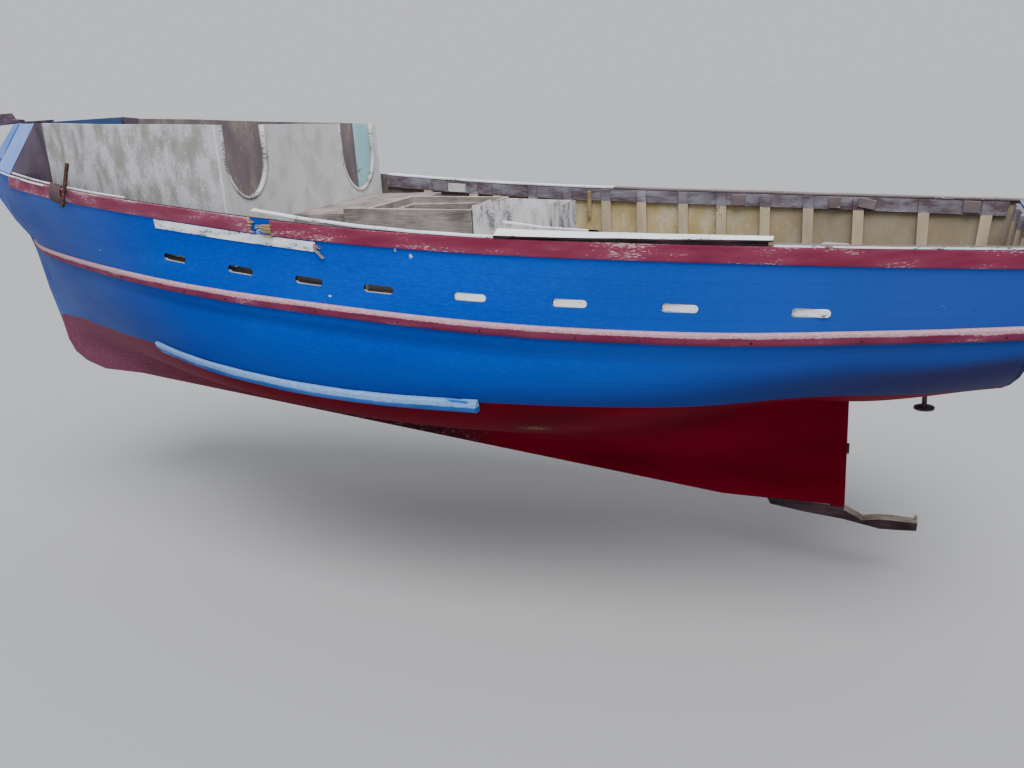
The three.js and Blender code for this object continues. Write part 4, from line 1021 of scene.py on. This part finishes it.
for node, slot, material, width, wander in SAWN:
    skin = sawn_skin(node)
    if wander:
        cut_long_edges(skin, BOARD_CUT)
        waver(skin, wander, WAVE)
    materials = [material]
    if node in TWO_TONE:
        second, on_tops = TWO_TONE[node]
        materials.append(second)
        for face in skin.faces:
            if (face.normal.z > TOP_LOOKS_UP) == on_tops:
                face.material_index = 1
    ease_edges(place_piece(skin, node + "_piece", materials, [node]), width)
print("sawn timber and ironwork:", len(SAWN), "pieces")

# %% [markdown]
# The decks are cambered, and the bow's boards curve with the sheer, so their triangles are joined to quads.
# The transom is flat, and its planks are numbered as the side's are. The rudder stock is the one piece that
# turns, so it rides on a body of its own.

# %% Decks, bow, transom and rudder stock
BOW_EDGE = 0.006
TRANSOM_EDGE = 0.01
STOCK_EDGE = 0.004
for node in ("main_deck", "forecastle_sole"):
    place_piece(curved_skin(node), node + "_planks", [DECK_TIMBER], [node])

for node in ("bow_bulwark_port", "bow_bulwark_starboard"):
    piece = place_piece(curved_skin(node), node + "_boards", [BOW_BLUE], [node])
    ease_edges(piece, BOW_EDGE)

transom_skin = sawn_skin("transom")
number_points(transom_skin, "plank", planks_from_strake)
transom = place_piece(transom_skin, "transom_planking", [HULL_PAINT], ["transom"])
ease_edges(transom, TRANSOM_EDGE)

stock = place_piece(
    merged("rudder_stock"), "rudder_stock_forging", [PURPLE_RUST], ["rudder_stock"], "stock"
)
ease_edges(stock, STOCK_EDGE)
print("decks, bow boards, transom and rudder stock: 6 pieces")

# %% [markdown]
# The bulwark frames are buff stanchions under a stringer with old purple and grey paint. Both are one
# node, so each point stores its height over the stringer's lower edge, and the paint changes at zero.

# %% Bulwark frames
STRINGER_DEEP = 0.185
FRAME_EDGE = 0.012
for side in (*SIDES, "stern"):
    node = "bulwark_frames_" + side
    skin = sawn_skin(node)
    number_points(skin, "height", lambda place: place.z - line("sheer_z", place.x) + STRINGER_DEEP)
    ease_edges(place_piece(skin, node + "_timbers", [FRAME_PAINT], [node]), FRAME_EDGE)
print("bulwark frames: 3 pieces")

# %% [markdown]
# The coaming's rim, and the ledge where hatch boards lay, are bleached pale by the sun. Both look up,
# and both stand higher than the feet of the coaming.

# %% Hatch coaming
LEDGE_LOOKS_UP = 0.8
LEDGE_FROM_Z = 1.86
COAMING_EDGE = 0.01
coaming_skin = sawn_skin("hatch_coaming")
for face in coaming_skin.faces:
    if face.normal.z > LEDGE_LOOKS_UP and face.calc_center_median().z > LEDGE_FROM_Z:
        face.material_index = 1
coaming = place_piece(
    coaming_skin, "hatch_coaming_timbers", [HATCH_TIMBER, PALE_TIMBER],
    ["hatch_coaming"],
)
ease_edges(coaming, COAMING_EDGE)
print("hatch coaming: rim and ledge picked out")

# %% [markdown]
# The forecastle's after bulkhead has two U-shaped notches, and the edge of each is a pale rim that
# stands proud of the boards. The notch's own faces are lifted off the bulkhead, and Solidify makes them
# the rim, so it follows the notch exactly.

# %% Forecastle bulkhead
BULKHEAD_X = 1.6
BULKHEAD_EDGE = 0.004
bulkhead = place_piece(
    sawn_skin("forecastle_bulkhead"), "forecastle_bulkhead_boards", [BULKHEAD_GREY],
    ["forecastle_bulkhead"],
)
ease_edges(bulkhead, BULKHEAD_EDGE)

NOTCHES = {"port": 1.48, "starboard": -1.385}
NOTCH_REACH = 0.5
NOTCH_FOOT = 2.0
NOTCH_HEAD = 3.2
EDGE_ON = 0.1
NOT_DOWN = -0.01
RIM_PAINT = painted_timber("thick white paint on the notch rims", "D4D2D4", "B8B4B4", "8A8480", 0.32)[0]
RIM_PROUD = 0.01
RIM_THICK = 0.045
RIM_OFFSET = -0.8
for side, middle_y in NOTCHES.items():
    skin = merged("forecastle_bulkhead")
    others = []
    for face in skin.faces:
        middle = face.calc_center_median()
        to_middle = middle_y - middle.y
        inward = face.normal.y * to_middle > -MERGE and face.normal.z > NOT_DOWN
        near = abs(to_middle) < NOTCH_REACH and NOTCH_FOOT < middle.z < NOTCH_HEAD
        if not (inward and near and abs(face.normal.x) < EDGE_ON):
            others.append(face)
    bmesh.ops.delete(skin, geom=others, context="FACES")
    for vert in skin.verts:
        vert.co.x += math.copysign(RIM_PROUD, vert.co.x - BULKHEAD_X)
    rim = place_piece(skin, "notch_rim_" + side, [RIM_PAINT])
    wall = rim.modifiers.new("thickness", "SOLIDIFY")
    wall.thickness = RIM_THICK
    wall.offset = RIM_OFFSET
print("bulkhead:", len(NOTCHES), "notch rims")

# %% [markdown]
# Loose boards and blocks are made from a cube that is scaled to a board, cut into lengths, wavered and
# eased. A board runs from one point to another, so its row in the table says where it lies.

# %% Boards that lie about
BOARD_LENGTH_CUT = 0.12
BOARD_WANDER = 0.004
BOARD_WAVE = 0.2
BOARD_EDGE_SHARE = 0.12


def stick(length, width, thick, cut):
    """A cube scaled to a board and cut into lengths."""
    skin = bmesh.new()
    bmesh.ops.create_cube(skin, size=1.0)
    bmesh.ops.scale(skin, verts=skin.verts, vec=(length, width, thick))
    cut_long_edges(skin, cut)
    return skin


def board(name, slot, material, start, end, width, thick):
    """A plank from start to end, with its broad face up."""
    start, end = Vector(start), Vector(end)
    along = (end - start).normalized()
    across = along.cross(Vector((0, 1e-3, 1))).normalized()
    turned = Matrix((along, across, across.cross(along))).transposed().to_4x4()
    skin = stick((end - start).length, width, thick, BOARD_LENGTH_CUT)
    bmesh.ops.transform(skin, matrix=Matrix.Translation((start + end) / 2) @ turned, verts=skin.verts)
    waver(skin, BOARD_WANDER, BOARD_WAVE)
    bmesh.ops.recalc_face_normals(skin, faces=skin.faces)
    ease_edges(place_piece(skin, name, [material]), min(width, thick) * BOARD_EDGE_SHARE)


BOARDS = [
    # name, slot, material, start, end, width, thickness
    ("loose_batten_fore", "white_paint", WHITE, (-2.19, 2.0, 2.0), (-2.66, 2.01, 1.935), 0.05, 0.022),
    ("loose_batten_aft", "white_paint", WHITE, (-2.64, 2.01, 1.937), (-3.2, 2.02, 1.895), 0.05, 0.022),
    ("casing_stub", "bare_timber", HOLD_TIMBER_AND_SHADE, (-1.43, 0.66, 1.86), (-1.42, 0.66, 2.0), 0.06, 0.05),
    ("stem_plate", "rusted_iron", PURPLE_RUST, (6.6, -0.29, 3.387), (7.0, -0.09, 3.387), 0.2, 0.03),
    ("stringer_plate", "frame_timber", BULKHEAD_GREY, (0.16, -2.22, 1.93), (0.46, -2.22, 1.95), 0.012,
     0.13),
    ("stringer_block_1", "bare_timber", CAP_TOP, (-4.3, -2.09, 1.68), (-4.12, -2.1, 1.68), 0.05, 0.15),
    ("stringer_block_2", "bare_timber", CAP_TOP, (-5.62, -1.96, 1.64), (-5.47, -1.97, 1.64), 0.05, 0.15),
    ("stringer_block_3", "bare_timber", CAP_TOP, (-6.08, -1.91, 1.6), (-5.86, -1.93, 1.65), 0.05, 0.13),
    ("stringer_block_4", "bare_timber", CAP_TOP, (-7.36, -1.74, 1.58), (-7.16, -1.76, 1.59), 0.05, 0.15),
    ("starboard_splinter", "bare_timber", TORN_TIMBER, (-1.9, -2.25, 1.43), (-1.93, -2.2, 1.84), 0.06,
     0.025),
    ("side_chip_board", "white_paint", BROKEN_TIMBER, (0.12, 2.345, 1.72), (0.03, 2.352, 1.63), 0.05,
     0.012),
]
for row in BOARDS:
    board(*row)
print("boards:", len(BOARDS))

# %% [markdown]
# Thin battens lie along the fore gunwale, and packing lies under the loose cap. The packing is near black, as
# painted shade in the gap under the cap. Each is made straight at the origin and then moved, point by point,
# to the sheer line at its own place.

# %% Battens along the sheer
BATTEN_LENGTH_CUT = 0.15
BATTEN_WAVE = 0.4
BATTEN_EDGE = 0.003
BATTENS = [
    # name, material, x from, x to, height over the sheer, distance out from it, width, thickness
    ("fore_batten_upper", WHITE, 3.2, 6.6, 0.016, -0.045, 0.03, 0.02),
    ("fore_batten_lower", WHITE, 4.9, 6.6, -0.01, 0.036, 0.02, 0.02),
    # the packing is near black as painted shade in the gap under the loose cap
    ("loose_cap_packing", SPLIT_TIMBER_AND_SHADE, -5.15, -2.35, 0.02, -0.03, 0.09, 0.032),
]
for name, material, x_from, x_to, above, out, width, thick in BATTENS:
    skin = stick(x_to - x_from, width, thick, BATTEN_LENGTH_CUT)
    bmesh.ops.translate(skin, verts=skin.verts, vec=((x_from + x_to) / 2, out, above))
    for vert in skin.verts:
        vert.co += Vector((0, line("sheer_y", vert.co.x), line("sheer_z", vert.co.x)))
    waver(skin, BOARD_WANDER, BATTEN_WAVE)
    ease_edges(place_piece(skin, name, [material]), BATTEN_EDGE)
print("battens:", len(BATTENS))

# %% [markdown]
# Where the gunwale strake has been torn off, its end is a brush of splinters. A splinter is a cone with
# four sides, laid along the grain. The random numbers are seeded, so each run gives the same break.

# %% Splinters
SHORTEST = 0.35
ROOT_RADII = (0.008, 0.018)
TIP_RADIUS = 0.001
SCATTER = 0.006


def splinters(name, slot, material, root, direction, spread, count, length, seed):
    """A row of torn slivers that point one way."""
    dice = random.Random(seed)
    skin = bmesh.new()
    aim = Vector(direction).to_track_quat("Z", "Y").to_matrix().to_4x4()
    for _ in range(count):
        reach = length * dice.uniform(SHORTEST, 1.0)
        thick = dice.uniform(*ROOT_RADII)
        cone = bmesh.ops.create_cone(
            skin, cap_ends=True, segments=4, radius1=thick, radius2=TIP_RADIUS, depth=reach
        )
        offset = Vector(spread) * dice.uniform(-0.5, 0.5) + Vector((0, dice.uniform(-SCATTER, SCATTER), 0))
        place = Matrix.Translation(Vector(root) + offset + Vector(direction) * reach / 2) @ aim
        bmesh.ops.transform(skin, matrix=place, verts=cone["verts"])
    place_piece(skin, name, [material])


SPLINTER_SETS = [
    # name, slot, material, root, direction, spread, count, length, seed
    ("gunwale_splinters_aft", "bare_timber", TORN_TIMBER, (0.73, 2.355, 1.96), (1, -0.04, 0.09),
     (0, 0, 0.15), 16, 0.26, 3),
    ("gunwale_splinters_fore", "bare_timber", TORN_TIMBER, (1.06, 2.325, 2.03), (-1, 0.05, -0.1),
     (0, 0, 0.15), 9, 0.1, 5),
    ("name_board_splinters", "white_paint", BROKEN_TIMBER, (0.15, 2.352, 1.77), (-0.95, 0.02, -0.3),
     (0, 0, 0.1), 9, 0.14, 7),
    ("heel_splinters", "bare_timber", BROKEN_TIMBER, (-6.76, 0.0, -2.12), (-1, 0, -0.05),
     (0, 0.1, 0.14), 14, 0.05, 11),
]
for row in SPLINTER_SETS:
    splinters(*row)
print("splinters:", len(SPLINTER_SETS), "sets")

# %% [markdown]
# Bolts hold the rubbing strake on. Each head is a shallow cone set against the moulding by a ray that
# is shot at it from outboard, so that no head floats. Many are gone or painted over, so those that show
# stand unevenly. All heads of one strake are one piece.

# %% Bolt heads
BOLT_FROM = -7.3
BOLT_STEP = 1.1
BOLT_COUNT = 14
BOLT_DROP = 0.03
BOLT_UNEVEN = 0.3
BOLT_SEED = 13
HEAD_SEGMENTS = 10
HEAD_RADIUS = 0.017
HEAD_TAPER = 0.7
HEAD_PROUD = 0.008
HEAD_SUNK = 0.2
FROM_OUTBOARD = 4
bolt_dice = random.Random(BOLT_SEED)
for side, outboard in SIDES.items():
    skin = bmesh.new()
    for i in range(BOLT_COUNT):
        x = BOLT_FROM + BOLT_STEP * i + bolt_dice.uniform(-BOLT_UNEVEN, BOLT_UNEVEN)
        start = Vector((x, outboard * FROM_OUTBOARD, line("rub_z", x) - BOLT_DROP))
        inward = Vector((0, -outboard, 0))
        hit, normal, _, _ = STRAKE_SKINS["rub_strake_" + side].ray_cast(start, inward)
        if hit is None:
            continue
        cone = bmesh.ops.create_cone(
            skin, cap_ends=True, segments=HEAD_SEGMENTS, radius1=HEAD_RADIUS,
            radius2=HEAD_RADIUS * HEAD_TAPER, depth=HEAD_PROUD,
        )
        turned = normal.to_track_quat("Z", "Y").to_matrix().to_4x4()
        place = Matrix.Translation(hit - normal * HEAD_PROUD * HEAD_SUNK) @ turned
        bmesh.ops.transform(skin, matrix=place, verts=cone["verts"])
    heads = len(skin.verts) // (2 * HEAD_SEGMENTS)
    place_piece(skin, "rub_strake_bolts_" + side, [BLACK_RUST])
    print("bolt heads to", side + ":", heads)

# %% [markdown]
# A rope lashing is wound tight round the fore gunwale. It is modelled as separate turns: a circle of
# rope spun once round the strake's run, then stretched to the strake's height.

# %% Rope lashing
ROPE = painted_timber("old hemp rope", "5A484C", "74605E", "30262A", 0.3, chip_mm=8, patch_mm=40)[0]
ROPE_RADIUS = 0.0135
ROPE_SEGMENTS = 8
TURN_RADIUS = 0.06
TURN_STEPS = 28
TURN_LEAN = 0.07
LASHING_X = (4.5, 4.535, 4.57, 4.605, 4.64, 4.675, 4.71, 4.745)
LASHING_TALL = 1.9
LASHING_DROP = 0.09
LASHING_IN = 0.012
FULL_TURN = math.radians(360)


def spin_section(skin, section, centre, axis, steps):
    """Spins a closed section once round an axis."""
    edges = list(dict.fromkeys(edge for vert in section for edge in vert.link_edges))
    bmesh.ops.spin(
        skin, geom=section + edges, cent=centre, axis=axis, angle=FULL_TURN, steps=steps, use_merge=True
    )


def close_spun(skin):
    """Merges the doubles that spins leave and turns the faces outwards."""
    bmesh.ops.remove_doubles(skin, verts=skin.verts, dist=MERGE)
    bmesh.ops.recalc_face_normals(skin, faces=skin.faces)


lashing = bmesh.new()
upright = Matrix.Rotation(math.radians(90), 4, "X")
for i, x in enumerate(LASHING_X):
    centre = Vector((x, line("sheer_y", x) - LASHING_IN, line("sheer_z", x) - LASHING_DROP))
    strand = bmesh.ops.create_circle(lashing, segments=ROPE_SEGMENTS, radius=ROPE_RADIUS)["verts"]
    start = Matrix.Translation(centre + Vector((0, 0, TURN_RADIUS))) @ upright
    bmesh.ops.transform(lashing, matrix=start, verts=strand)
    spin_section(lashing, strand, centre, (1, 0, TURN_LEAN * (i % 3 - 1)), TURN_STEPS)
for vert in lashing.verts:
    middle_z = line("sheer_z", vert.co.x) - LASHING_DROP
    vert.co.z = middle_z + (vert.co.z - middle_z) * LASHING_TALL
close_spun(lashing)
place_piece(lashing, "gunwale_lashing", [ROPE])
print("lashing:", len(LASHING_X), "turns")

# %% [markdown]
# Two round skin fittings sit in the side near the stern: a small flange round an open bore, painted over in
# blue. A ring is made by spinning a small four-sided section once round the fitting's axis, which is the
# way the planking looks where a ray from outboard meets it.

# %% Skin fittings
FITTINGS = ((-6.837, 1.076), (-7.131, 1.072))
FLANGE_RADIUS = 0.018
FLANGE_HALF = 0.0077
FLANGE_STEPS = 20
side_skin = merged("topside_port")
side_tree = bvhtree.BVHTree.FromBMesh(side_skin)
side_skin.free()
fitting_skin = bmesh.new()
squared = Matrix.Rotation(math.radians(90), 4, "Y") @ Matrix.Rotation(math.radians(45), 4, "Z")
for x, z in FITTINGS:
    hit, normal, _, _ = side_tree.ray_cast(Vector((x, FROM_OUTBOARD, z)), Vector((0, -1, 0)))
    ring = bmesh.ops.create_circle(fitting_skin, segments=4, radius=FLANGE_HALF)["verts"]
    start = Matrix.Translation(hit + Vector((0, 0, FLANGE_RADIUS))) @ squared
    bmesh.ops.transform(fitting_skin, matrix=start, verts=ring)
    spin_section(fitting_skin, ring, hit, normal, FLANGE_STEPS)
close_spun(fitting_skin)
place_piece(fitting_skin, "skin_fittings", [RAIL_PAINT_AND_SHADE])
print("skin fittings:", len(FITTINGS))

# %% [markdown]
# The box of the finished model is measured and printed.

# %% Measure and finish
low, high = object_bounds()
print("size:", [round(v, 3) for v in high - low])
